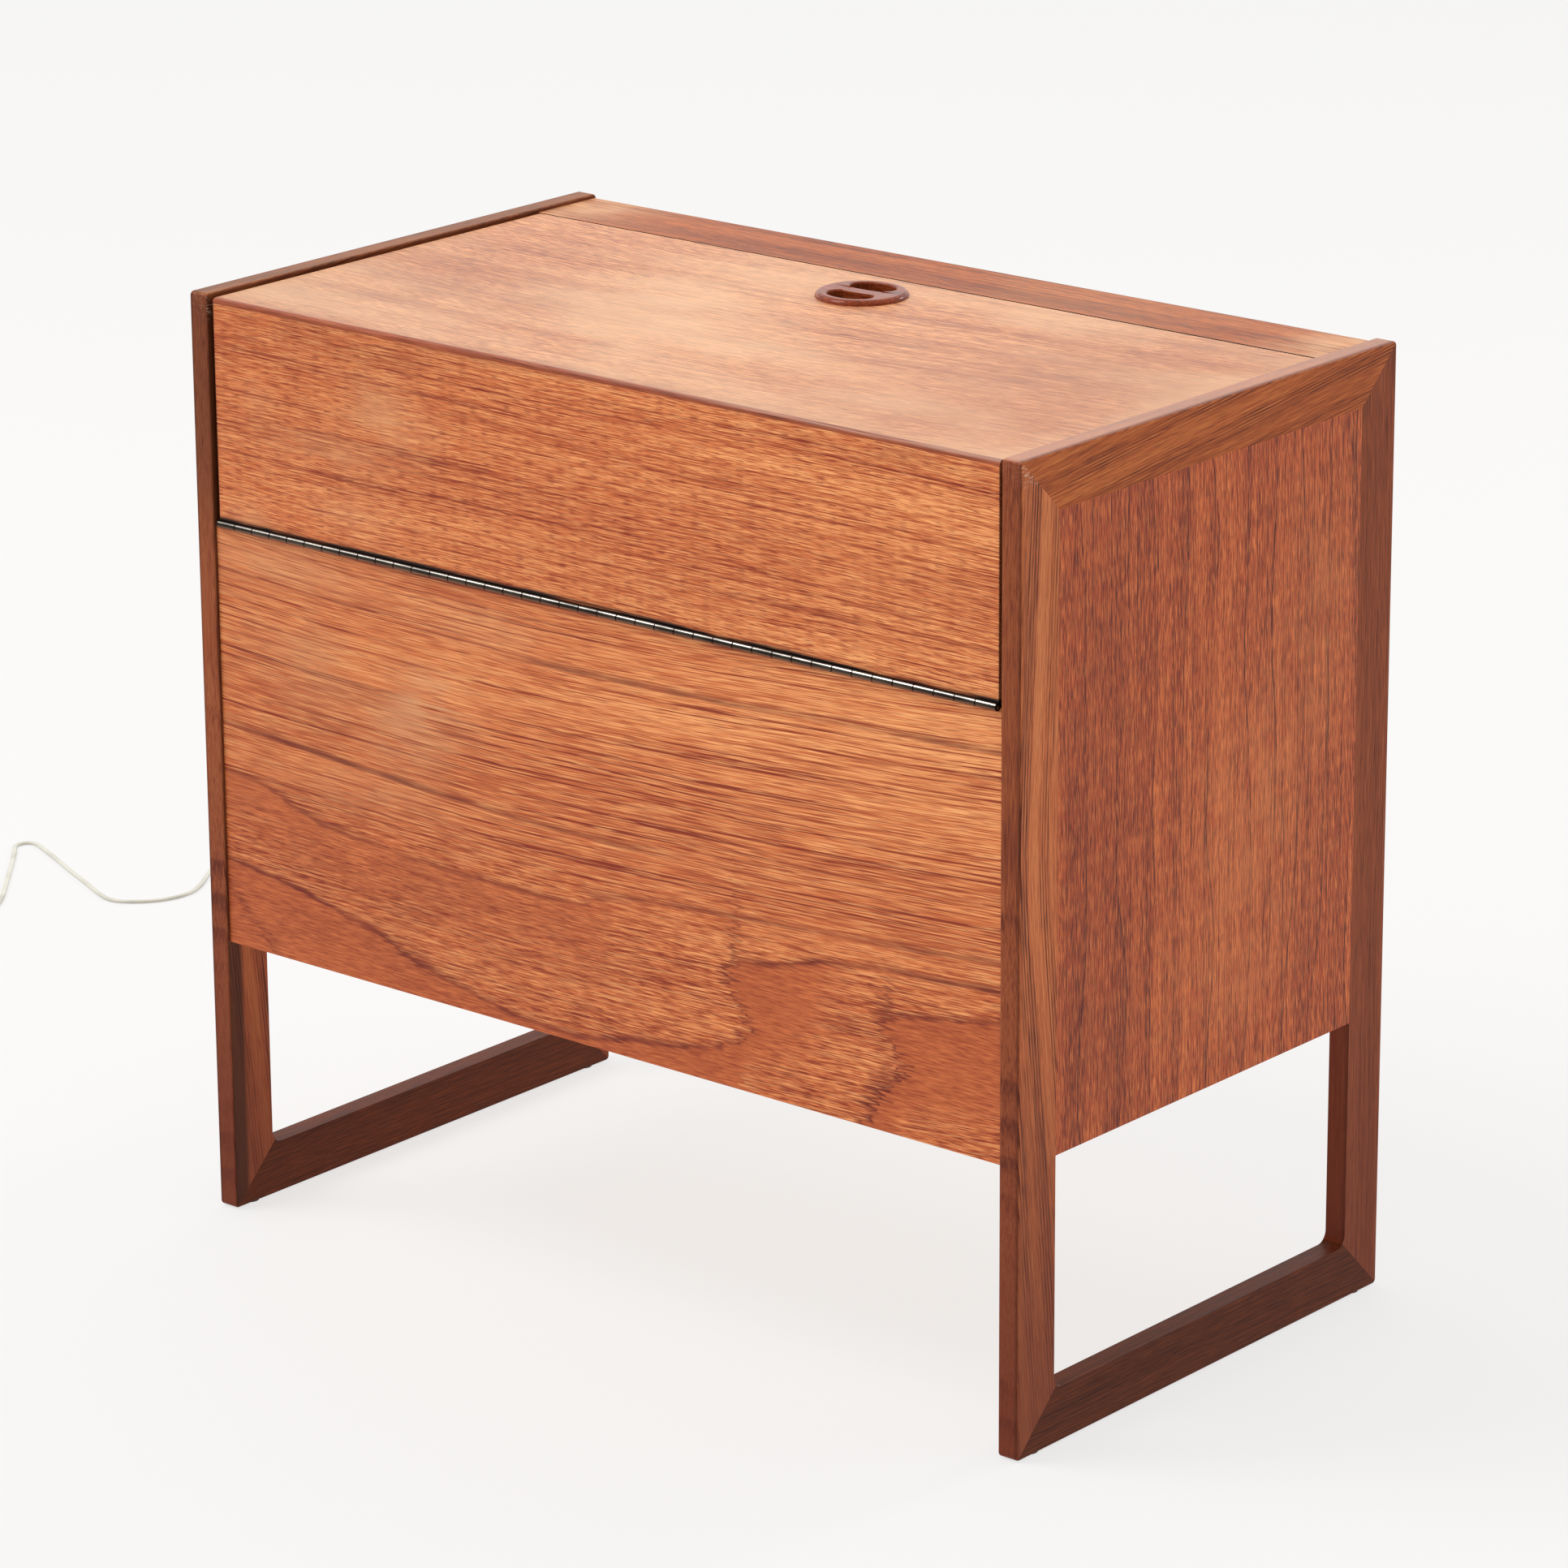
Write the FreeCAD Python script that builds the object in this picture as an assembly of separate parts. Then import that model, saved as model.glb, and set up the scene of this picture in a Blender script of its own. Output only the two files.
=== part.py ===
import FreeCAD, Part
import math
import os

from FreeCAD import Vector

# A cellarette (bar cabinet) between two mitred side frames. The upper front and the top are one lid,
# which swings forward and down on a full-width piano hinge and becomes a serving shelf.
# Millimetres. X runs to the right, Y to the back, Z up. The origin is on the floor under the centre.

# Overall size
WIDTH = 811.0
DEPTH = 448.0
HEIGHT = 750.0

# Side frames
FRAME_THICK = 18.0
FRAME_WIDE = 43.0
FRAME_CORNER = 3.5
FRAME_ARRIS = 1.8
FRAME_FILLET = 10.0
GLIDE_HIGH = 1.0
GLIDE_D = 15.0
GLIDE_INSET = 24.0

# Case
CASE_BOTTOM = 226.0
FRONT_RECESS = 3.0
TOP_RECESS = 3.0
BACK_RECESS = 3.0
PANEL = 16.0
BACK_PANEL = 10.0
STRIP_WIDE = 67.5
SEAM = 2.0

# Lid and its rest
LID_SIDE_GAP = 4.0
LIPPING = 4.0
LIPPING_ROUND = 3.0
CORNER_STRIP = 28.0
CORNER_STRIP_INSET = 18.0
REST_HIGH = 20.0
REST_LIP = 13.0
REST_BEHIND = 18.0
REST_CLEAR = 0.3

# Piano hinge, with its pin in front of the faces so that the fronts fold flat on each other
HINGE_Z = 568.5
HINGE_PROUD = 1.0
HINGE_LEAF = 1.0
HINGE_LEAF_GAP = 0.4
HINGE_LEAF_INSET = 1.5
KNUCKLE_D = 6.0
KNUCKLE_PITCH = 18.7
KNUCKLE_GAP = 0.3
PIN_D = 3.0
PIN_CLEAR = 0.05
COVE_CLEAR = 0.4

# Round pull: a rim with a cross-bar over a dish
PULL_X = -2.0
PULL_FROM_SEAM = 57.6
PULL_TURN = 3.8
PULL_R = 36.2
PULL_RISE = 4.1
PULL_CREST_R = 31.5
PULL_OPENING_R = 27.9
PULL_SEAT_R = 31.0
PULL_SEAT = 3.5
PULL_BAR = 11.5
PULL_BAR_DIP = 0.8
PULL_CORNER = 9.5
PULL_EDGE = 1.6
DISH_BASE = 2.5
DISH_R = 28.5
DISH_FLAT_R = 9.0
DISH_SEAT_LEFT = 3.5

# Bottle dividers, partition and glass shelf
BOTTLE_CELL = 96.0
BOTTLE_COLUMNS = 4
BOTTLE_ROWS = 4
DIVIDER = 6.0
DIVIDER_HIGH = 160.0
LAP_CLEAR = 0.3
PARTITION = 12.0
PARTITION_BELOW_HINGE = 30.0
SHELF_Z = 400.0
SHELF_DEEP = 200.0
SHELF_THICK = 6.0
SHELF_CLEAR = 0.5
CLEAT = 12.0

# Lamp, and the switch that the lid holds down
LAMP_X = -140.0
HOLDER_R = 14.0
HOLDER_LONG = 42.0
HOLDER_BORE_R = 7.2
HOLDER_BORE_DEEP = 26.0
HOLDER_FOOT = 22.0
HOLDER_BACK_GAP = 2.0
LAMP_DROP = 18.0
BULB_R = 12.0
BULB_CAP_R = 7.0
BULB_NECK = 4.0
BULB_LONG = 92.0
SWITCH_X = -215.0
SWITCH_LONG = 26.0
SWITCH_HIGH = 24.0
SWITCH_BORE_DEEP = 16.0
PLUNGER_D = 5.0
PLUNGER_CLEAR = 0.05
PLUNGER_TRAVEL = 4.0
PLUNGER_TIP = 1.0

# Flex inside the case and on the floor
CORD_D = 5.0
CORD_FLOOR = 0.1
LEAD_FROM_DIVIDER = 9.0
LEAD_FROM_BACK = 7.0
LEAD_BEND = 20.0
EXIT_Z = 264.0
RELIEF_R = 5.0
RELIEF_FLANGE_R = 8.0
RELIEF_FLANGE = 2.0
RELIEF_SNOUT = 8.0
RELIEF_SNOUT_R = 3.6
CLIP_WIDE = 9.0
CLIP_HIGH = 7.0
CLIP_WALL = 1.2
CLIP_CLEAR = 0.15
CLIPS = 3

# Coil of the flex's unseen rest, with the plug beyond it
COIL_X = -1134.0
COIL_Y = 85.0
COIL_R = 34.0
COIL_STEP = 5.6
COIL_HALF_TURNS_IN = 5
COIL_HALF_TURNS_OUT = 6
COIL_TAIL = 34.0
PLUG_LONG = 36.0
PLUG_WIDE = 27.0
PLUG_NECK = 11.0
PLUG_NECK_LONG = 12.0
PLUG_ROUND = 3.0
PLUG_FLOOR = 0.2
PLUG_PIN_D = 4.0
PLUG_PIN_LONG = 19.0
PLUG_PIN_APART = 19.0

# Planes that several pieces share
inner = WIDTH / 2 - FRAME_THICK
front = -DEPTH / 2 + FRONT_RECESS
front_in = front + PANEL
back = DEPTH / 2 - BACK_RECESS
back_in = back - BACK_PANEL
top = HEIGHT - TOP_RECESS
top_in = top - PANEL
floor_top = CASE_BOTTOM + PANEL
strip_front = back - STRIP_WIDE
lid_rear = strip_front - SEAM
lid_half = inner - LID_SIDE_GAP
hinge_y = front - HINGE_PROUD
leaf_out = HINGE_LEAF_GAP / 2 + HINGE_LEAF
bottle_right = -inner + BOTTLE_COLUMNS * BOTTLE_CELL + (BOTTLE_COLUMNS - 1) * DIVIDER
partition_right = bottle_right + PARTITION
lamp_y = back_in - HOLDER_R - HOLDER_BACK_GAP
lamp_z = top_in - LAMP_DROP
rest_front = lid_rear - REST_LIP
rest_back = strip_front + REST_BEHIND
rest_bottom = top_in - REST_HIGH
switch_y = (rest_front + lid_rear) / 2
lead_x = -inner + BOTTLE_CELL - LEAD_FROM_DIVIDER
lead_y = back_in - LEAD_FROM_BACK
cord_z = CORD_D / 2 + CORD_FLOOR

X, Y, Z = Vector(1, 0, 0), Vector(0, 1, 0), Vector(0, 0, 1)
MIDWAY = math.sqrt(0.5)


def box(x0, x1, y0, y1, z0, z1):
    return Part.makeBox(x1 - x0, y1 - y0, z1 - z0, Vector(x0, y0, z0))


def rod(radius, start, end):
    return Part.makeCylinder(radius, (end - start).Length, start, end - start)


def prism_x(outline, x0, x1):
    """A solid from x0 to x1 whose section is an outline of (y, z) points."""
    points = [Vector(x0, y, z) for y, z in outline]
    face = Part.Face(Part.makePolygon(points + points[:1]))
    return face.extrude(Vector(x1 - x0, 0, 0))


def turned(outline, centre, axis):
    """A solid of revolution from (radius, height) points about an axis through centre."""
    side = Y if axis == X else X
    points = [centre + side * r + axis * h for r, h in outline]
    face = Part.Face(Part.makePolygon(points + points[:1]))
    return face.revolve(centre, axis, 360)


def along(shape, axis, keep=lambda middle: True):
    """The straight edges of a shape that run along an axis and whose middles are kept."""
    found = []
    for edge in shape.Edges:
        if edge.Curve.TypeId != "Part::GeomLine":
            continue
        if abs(edge.tangentAt(edge.FirstParameter).dot(axis)) > 0.999 and keep(edge.CenterOfMass):
            found.append(edge)
    return found


def at_height(shape, z):
    """The edges of a shape that lie in the plane at a height."""
    boxes = [(edge, edge.BoundBox) for edge in shape.Edges]
    return [edge for edge, b in boxes if abs(b.ZMin - z) < 1e-6 and abs(b.ZMax - z) < 1e-6]


def frame_members(side):
    """One side frame, cut at its mitres into legs, top rail and runner."""
    outer = side * WIDTH / 2
    x0, x1 = sorted((outer, outer - side * FRAME_THICK))
    y0, y1 = -DEPTH / 2, DEPTH / 2
    z0, z1 = GLIDE_HIGH, HEIGHT
    slab = box(x0, x1, y0, y1, z0, z1)
    slab = slab.makeFillet(FRAME_CORNER, along(slab, X))
    rims = [e for e in slab.Edges if e.BoundBox.XLength < 1e-6]
    slab = slab.makeFillet(FRAME_ARRIS, rims)
    opening = box(x0 - 1, x1 + 1, y0 + FRAME_WIDE, y1 - FRAME_WIDE, z0 + FRAME_WIDE, z1 - FRAME_WIDE)
    lower = along(opening, X, lambda middle: middle.z < CASE_BOTTOM)
    ring = slab.cut(opening.makeFillet(FRAME_FILLET, lower))
    reach = FRAME_WIDE + 2 * FRAME_FILLET
    corners = {"fb": (y0, z0), "ft": (y0, z1), "rt": (y1, z1), "rb": (y1, z0)}
    inside = {
        "fb": (y0 + reach, z0 + reach),
        "ft": (y0 + reach, z1 - reach),
        "rt": (y1 - reach, z1 - reach),
        "rb": (y1 - reach, z0 + reach),
    }
    ends = {"front_leg": "fb ft", "top_rail": "ft rt", "rear_leg": "rt rb", "runner": "rb fb"}
    members = {}
    for name, pair in ends.items():
        a, b = pair.split()
        outline = [corners[a], corners[b], inside[b], inside[a]]
        members[name] = ring.common(prism_x(outline, x0 - 1, x1 + 1)).Solids[0]
    return members


def side_panel(side):
    outer = side * WIDTH / 2
    x0, x1 = sorted((outer, outer - side * FRAME_THICK))
    edge = DEPTH / 2 - FRAME_WIDE
    return box(x0, x1, -edge, edge, CASE_BOTTOM, HEIGHT - FRAME_WIDE)


def glides():
    pads = []
    for side in (-1, 1):
        x = side * (WIDTH - FRAME_THICK) / 2
        for y in (-DEPTH / 2 + GLIDE_INSET, DEPTH / 2 - GLIDE_INSET):
            pads.append(Part.makeCylinder(GLIDE_D / 2, GLIDE_HIGH, Vector(x, y, 0)))
    return pads


def barrel_cove():
    """The room that a panel's edge leaves for the hinge's barrel."""
    radius = KNUCKLE_D / 2 + COVE_CLEAR
    return rod(radius, Vector(-inner - 1, hinge_y, HINGE_Z), Vector(inner + 1, hinge_y, HINGE_Z))


def lower_front_panel():
    panel = box(-inner, inner, front, front_in, CASE_BOTTOM, HINGE_Z - leaf_out)
    return panel.cut(barrel_cove())


def back_panel():
    panel = box(-inner, inner, back_in, back, CASE_BOTTOM, top_in)
    hole = rod(RELIEF_R, Vector(lead_x, back_in - 1, EXIT_Z), Vector(lead_x, back + 1, EXIT_Z))
    return panel.cut(hole)


def lid_front_panel():
    """The upper front, mitred to the top under the lipping."""
    bottom = HINGE_Z + leaf_out
    outline = [
        (front, bottom),
        (front_in, bottom),
        (front_in, top_in),
        (front + LIPPING, top - LIPPING),
        (front, top - LIPPING),
    ]
    return prism_x(outline, -lid_half, lid_half).cut(barrel_cove())


def lid_top_panel():
    outline = [
        (front_in, top_in),
        (lid_rear, top_in),
        (lid_rear, top),
        (front + LIPPING, top),
        (front + LIPPING, top - LIPPING),
    ]
    panel = prism_x(outline, -lid_half, lid_half)
    return panel.cut(Part.makeCylinder(PULL_SEAT_R, PANEL, pull_point(top_in + DISH_SEAT_LEFT)))


def lid_lipping():
    strip = box(-lid_half, lid_half, front, front + LIPPING, top - LIPPING, top)
    outer = along(strip, X, lambda middle: middle.y < front + 0.1 and middle.z > top - 0.1)
    return strip.makeFillet(min(LIPPING_ROUND, 0.9 * LIPPING), outer)


def lid_corner_strip():
    outline = [(front_in, top_in), (front_in + CORNER_STRIP, top_in), (front_in, top_in - CORNER_STRIP)]
    half = lid_half - CORNER_STRIP_INSET
    return prism_x(outline, -half, half)


def lid_rest_rail():
    """The rail under the seam. Its front lip, a little lower, carries the closed lid."""
    lip = top_in - REST_CLEAR
    outline = [
        (rest_front, rest_bottom),
        (rest_back, rest_bottom),
        (rest_back, top_in),
        (strip_front, top_in),
        (strip_front, lip),
        (rest_front, lip),
    ]
    rail = prism_x(outline, -inner, inner)
    bore = PLUNGER_D / 2 + PLUNGER_CLEAR
    foot = Vector(SWITCH_X, switch_y, rest_bottom - 1)
    return rail.cut(Part.makeCylinder(bore, REST_HIGH + 2, foot))


def knuckles():
    """The count of knuckles, always odd, and their exact pitch."""
    count = 2 * int(lid_half / KNUCKLE_PITCH) + 1
    return count, 2 * lid_half / count


def hinge_leaf(side, first):
    """A leaf with every second knuckle. side is 1 on the lid and -1 on the case."""
    z0, z1 = sorted((HINGE_Z + side * HINGE_LEAF_GAP / 2, HINGE_Z + side * leaf_out))
    plate_front = hinge_y + KNUCKLE_D / 2 + COVE_CLEAR
    leaf = box(-lid_half, lid_half, plate_front, front_in - HINGE_LEAF_INSET, z0, z1)
    bore = PIN_D / 2 + PIN_CLEAR
    web = hinge_y + (bore + KNUCKLE_D / 2) / 2
    count, pitch = knuckles()
    rings = []
    for i in range(first, count, 2):
        x0 = -lid_half + i * pitch + KNUCKLE_GAP / 2
        x1 = x0 + pitch - KNUCKLE_GAP
        barrel = rod(KNUCKLE_D / 2, Vector(x0, hinge_y, HINGE_Z), Vector(x1, hinge_y, HINGE_Z))
        tab = box(x0, x1, web, plate_front, z0, z1)
        hole = rod(bore, Vector(x0 - 1, hinge_y, HINGE_Z), Vector(x1 + 1, hinge_y, HINGE_Z))
        rings.append(barrel.fuse(tab).cut(hole))
    return leaf.multiFuse(rings).removeSplitter()


def hinge_pin():
    return rod(PIN_D / 2, Vector(-lid_half, hinge_y, HINGE_Z), Vector(lid_half, hinge_y, HINGE_Z))


def pull_point(z):
    return Vector(PULL_X, strip_front - PULL_FROM_SEAM, z)


def pull_ring():
    """The turned rim with its cross-bar, which leaves two half-moon finger openings."""
    base = Vector(0, 0, -PULL_SEAT)
    foot = Vector(PULL_SEAT_R, 0, -PULL_SEAT)
    seat = Vector(PULL_SEAT_R, 0, 0)
    edge = Vector(PULL_R, 0, 0)
    crest = Vector(PULL_CREST_R, 0, PULL_RISE)
    bulge = Vector(PULL_CREST_R + (PULL_R - PULL_CREST_R) * MIDWAY, 0, PULL_RISE * MIDWAY)
    crown = Vector(0, 0, PULL_RISE)
    edges = [
        Part.LineSegment(base, foot).toShape(),
        Part.LineSegment(foot, seat).toShape(),
        Part.LineSegment(seat, edge).toShape(),
        Part.Arc(edge, bulge, crest).toShape(),
        Part.LineSegment(crest, crown).toShape(),
        Part.LineSegment(crown, base).toShape(),
    ]
    disc = Part.Face(Part.Wire(edges)).revolve(Vector(), Z, 360)
    well = Part.makeCylinder(PULL_OPENING_R, PULL_SEAT + PULL_RISE, base)
    bar = box(-PULL_R, PULL_R, -PULL_BAR / 2, PULL_BAR / 2, -PULL_SEAT, PULL_RISE)
    for opening in well.cut(bar).Solids:
        disc = disc.cut(opening.makeFillet(PULL_CORNER, along(opening, Z)))
    inside = PULL_OPENING_R + 0.1
    rims = [e for e in at_height(disc, PULL_RISE) if math.hypot(*e.Vertexes[0].Point[:2]) < inside]
    disc = disc.makeFillet(PULL_EDGE, rims)
    hollow = PULL_OPENING_R**2 / (2 * PULL_BAR_DIP) + PULL_BAR_DIP / 2
    dip = Part.makeCylinder(hollow, PULL_BAR, Vector(0, -PULL_BAR / 2, PULL_RISE + hollow - PULL_BAR_DIP), Y)
    disc = disc.cut(dip)
    disc.rotate(Vector(), Z, PULL_TURN)
    disc.translate(pull_point(top))
    return disc


def pull_dish():
    """The turned dish under the pull, seated in the lid's blind hole."""
    low = top_in + DISH_SEAT_LEFT - top
    high = -PULL_SEAT
    foot = low + DISH_BASE
    lip = Vector(DISH_R, 0, high)
    floor_edge = Vector(DISH_FLAT_R, 0, foot)
    hollow = Vector(DISH_FLAT_R + (DISH_R - DISH_FLAT_R) * MIDWAY, 0, high - (high - foot) * MIDWAY)
    edges = [
        Part.LineSegment(Vector(0, 0, low), Vector(PULL_SEAT_R, 0, low)).toShape(),
        Part.LineSegment(Vector(PULL_SEAT_R, 0, low), Vector(PULL_SEAT_R, 0, high)).toShape(),
        Part.LineSegment(Vector(PULL_SEAT_R, 0, high), lip).toShape(),
        Part.Arc(lip, hollow, floor_edge).toShape(),
        Part.LineSegment(floor_edge, Vector(0, 0, foot)).toShape(),
        Part.LineSegment(Vector(0, 0, foot), Vector(0, 0, low)).toShape(),
    ]
    dish = Part.Face(Part.Wire(edges)).revolve(Vector(), Z, 360)
    dish.translate(pull_point(top))
    return dish


def divider_lines():
    """Where the boards between the bottle cells start: their x from front to back, then their y."""
    row = (back_in - front_in - (BOTTLE_ROWS - 1) * DIVIDER) / BOTTLE_ROWS
    xs = [-inner + (i + 1) * BOTTLE_CELL + i * DIVIDER for i in range(BOTTLE_COLUMNS - 1)]
    ys = [front_in + (i + 1) * row + i * DIVIDER for i in range(BOTTLE_ROWS - 1)]
    return xs, ys


def dividers():
    """Boards half-lapped into a lattice: those along Y are notched below, those along X above."""
    xs, ys = divider_lines()
    z0, z1 = floor_top, floor_top + DIVIDER_HIGH
    lap = (z0 + z1) / 2
    boards = {}
    for i, x in enumerate(xs):
        board = box(x, x + DIVIDER, front_in, back_in, z0, z1)
        for y in ys:
            notch = box(x - 1, x + DIVIDER + 1, y - LAP_CLEAR, y + DIVIDER + LAP_CLEAR, z0 - 1, lap)
            board = board.cut(notch)
        boards[f"bottle_divider_cross_{i + 1}"] = board
    for i, y in enumerate(ys):
        board = box(-inner, bottle_right, y, y + DIVIDER, z0, z1)
        for x in xs:
            notch = box(x - LAP_CLEAR, x + DIVIDER + LAP_CLEAR, y - 1, y + DIVIDER + 1, lap, z1 + 1)
            board = board.cut(notch)
        boards[f"bottle_divider_long_{i + 1}"] = board
    return boards


def partition():
    return box(
        bottle_right, partition_right, front_in, back_in, floor_top, HINGE_Z - PARTITION_BELOW_HINGE
    )


def shelf_cleats():
    y0 = back_in - SHELF_DEEP
    z0, z1 = SHELF_Z - CLEAT, SHELF_Z
    return [
        box(partition_right, partition_right + CLEAT, y0, back_in, z0, z1),
        box(inner - CLEAT, inner, y0, back_in, z0, z1),
    ]


def glass_shelf():
    return box(
        partition_right + SHELF_CLEAR,
        inner - SHELF_CLEAR,
        back_in - SHELF_DEEP,
        back_in - SHELF_CLEAR,
        SHELF_Z,
        SHELF_Z + SHELF_THICK,
    )


def lamp_holder():
    """A socket on a foot that is fixed under the rear strip."""
    start = Vector(LAMP_X, lamp_y, lamp_z)
    end = start + X * HOLDER_LONG
    body = rod(HOLDER_R, start, end)
    half = HOLDER_FOOT / 2
    foot = box(start.x, end.x, lamp_y - half, lamp_y + half, lamp_z, top_in)
    bore = rod(HOLDER_BORE_R, end - X * HOLDER_BORE_DEEP, end)
    return body.fuse(foot).cut(bore).removeSplitter()


def lamp_bulb():
    """A tubular bulb, its cap in the holder and its far end rounded."""
    base = Vector(LAMP_X + HOLDER_LONG - HOLDER_BORE_DEEP, lamp_y, lamp_z)
    shoulder = HOLDER_BORE_DEEP + BULB_NECK
    tip = shoulder + BULB_LONG

    def point(h, r):
        return base + X * h + Y * r

    bend = BULB_R * MIDWAY
    edges = [
        Part.LineSegment(point(0, 0), point(0, BULB_CAP_R)).toShape(),
        Part.LineSegment(point(0, BULB_CAP_R), point(HOLDER_BORE_DEEP, BULB_CAP_R)).toShape(),
        Part.LineSegment(point(HOLDER_BORE_DEEP, BULB_CAP_R), point(shoulder, BULB_R)).toShape(),
        Part.LineSegment(point(shoulder, BULB_R), point(tip - BULB_R, BULB_R)).toShape(),
        Part.Arc(point(tip - BULB_R, BULB_R), point(tip - BULB_R + bend, bend), point(tip, 0)).toShape(),
        Part.LineSegment(point(tip, 0), point(0, 0)).toShape(),
    ]
    return Part.Face(Part.Wire(edges)).revolve(base, X, 360)


def switch_body():
    half = SWITCH_LONG / 2
    body = box(
        SWITCH_X - half, SWITCH_X + half, rest_front, rest_back, rest_bottom - SWITCH_HIGH, rest_bottom
    )
    bore = PLUNGER_D / 2 + PLUNGER_CLEAR
    foot = Vector(SWITCH_X, switch_y, rest_bottom - SWITCH_BORE_DEEP)
    return body.cut(Part.makeCylinder(bore, SWITCH_BORE_DEEP + 1, foot))


def switch_plunger():
    low = rest_bottom - SWITCH_BORE_DEEP + PLUNGER_TRAVEL
    high = top_in - REST_CLEAR
    pin = Part.makeCylinder(PLUNGER_D / 2, high - low, Vector(SWITCH_X, switch_y, low))
    return pin.makeFillet(PLUNGER_TIP, at_height(pin, high))


def tube(edges, diameter):
    """A round tube along tangent lines and arcs, as a pipe shell in default mode."""
    path = Part.Wire(edges)
    first = edges[0]
    start = first.valueAt(first.FirstParameter)
    tangent = first.tangentAt(first.FirstParameter)
    section = Part.Wire(Part.makeCircle(diameter / 2, start, tangent))
    return path.makePipeShell([section], True, False).Solids[0]


def rounded_route(points, name):
    """Straight runs through points, joined by arcs as large as the shorter run of each pair allows."""
    edges = []
    radii = []
    here = points[0]
    for before, point, after in zip(points, points[1:], points[2:]):
        to_point, onward = point - before, after - point
        turn = to_point.getAngle(onward)
        setback = 0.45 * min(to_point.Length, onward.Length)
        radii.append(setback / math.tan(turn / 2))
        start = point - to_point.normalize() * setback
        end = point + onward.normalize() * setback
        inward = (end + start) * 0.5 - point
        depth = inward.Length
        far = radii[-1] / math.cos(turn / 2) - radii[-1]
        middle = point + inward * (far / depth)
        edges.append(Part.LineSegment(here, start).toShape())
        edges.append(Part.Arc(start, middle, end).toShape())
        here = end
    edges.append(Part.LineSegment(here, points[-1]).toShape())
    print(f"{name}: radii", " ".join(f"{r:.0f}" for r in radii))
    return edges


def check_tube(solid, edges, diameter, name):
    long = sum(e.Length for e in edges)
    share = solid.Volume / (math.pi * diameter**2 / 4 * long)
    print(f"{name}: length {long:.1f}, volume over section times length {share:.4f}")


def strain_relief():
    """A flanged bush in the back panel that grips the flex."""
    outline = [
        (0, -RELIEF_FLANGE),
        (RELIEF_FLANGE_R, -RELIEF_FLANGE),
        (RELIEF_FLANGE_R, 0),
        (RELIEF_R, 0),
        (RELIEF_R, BACK_PANEL),
        (RELIEF_FLANGE_R, BACK_PANEL),
        (RELIEF_FLANGE_R, BACK_PANEL + RELIEF_FLANGE),
        (RELIEF_R, BACK_PANEL + RELIEF_FLANGE),
        (RELIEF_SNOUT_R, BACK_PANEL + RELIEF_SNOUT),
        (0, BACK_PANEL + RELIEF_SNOUT),
    ]
    return turned(outline, Vector(lead_x, back_in, EXIT_Z), Y)


def lamp_lead():
    """The flex inside: from the strain relief up the back panel and along to the lamp holder."""
    bend = LEAD_FROM_BACK - RELIEF_FLANGE
    low, high = EXIT_Z + bend, lamp_z
    start = Vector(lead_x, back_in - RELIEF_FLANGE, EXIT_Z)
    up = Vector(lead_x, lead_y, low)
    turn = Vector(lead_x, lead_y, high - LEAD_BEND)
    level = Vector(lead_x + LEAD_BEND, lead_y, high)
    end = Vector(LAMP_X, lead_y, high)
    elbow = Vector(lead_x, lead_y + bend * (1 - MIDWAY), EXIT_Z + bend * (1 - MIDWAY))
    shoulder = Vector(lead_x + LEAD_BEND * (1 - MIDWAY), lead_y, high - LEAD_BEND * (1 - MIDWAY))
    edges = [
        Part.Arc(start, elbow, up).toShape(),
        Part.LineSegment(up, turn).toShape(),
        Part.Arc(turn, shoulder, level).toShape(),
        Part.LineSegment(level, end).toShape(),
    ]
    solid = tube(edges, CORD_D)
    check_tube(solid, edges, CORD_D, "lamp_lead")
    return solid


def switch_lead():
    """The flex from the switch across to the lamp holder."""
    z = rest_bottom - SWITCH_HIGH / 2
    start = Vector(SWITCH_X + SWITCH_LONG / 2, rest_back - 2 * CORD_D, z)
    end = Vector(LAMP_X, lamp_y - HOLDER_R / 2, lamp_z)
    run = (end.x - start.x) / 3
    points = [start, start + X * run, end - X * run, end]
    edges = rounded_route(points, "switch_lead")
    solid = tube(edges, CORD_D)
    check_tube(solid, edges, CORD_D, "switch_lead")
    return solid


def lead_clips():
    """Saddles that hold the lead on the back panel, evenly spaced from its exit to the lamp."""
    clips = []
    hole = CORD_D / 2 + CLIP_CLEAR
    half = CLIP_WIDE / 2
    for i in range(CLIPS):
        z = EXIT_Z + (lamp_z - EXIT_Z) * (i + 1) / (CLIPS + 1)
        saddle = box(
            lead_x - half, lead_x + half, lead_y - hole - CLIP_WALL, back_in, z, z + CLIP_HIGH
        )
        clips.append(saddle.cut(Part.makeCylinder(hole, CLIP_HIGH + 2, Vector(lead_x, lead_y, z - 1))))
    return clips


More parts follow.
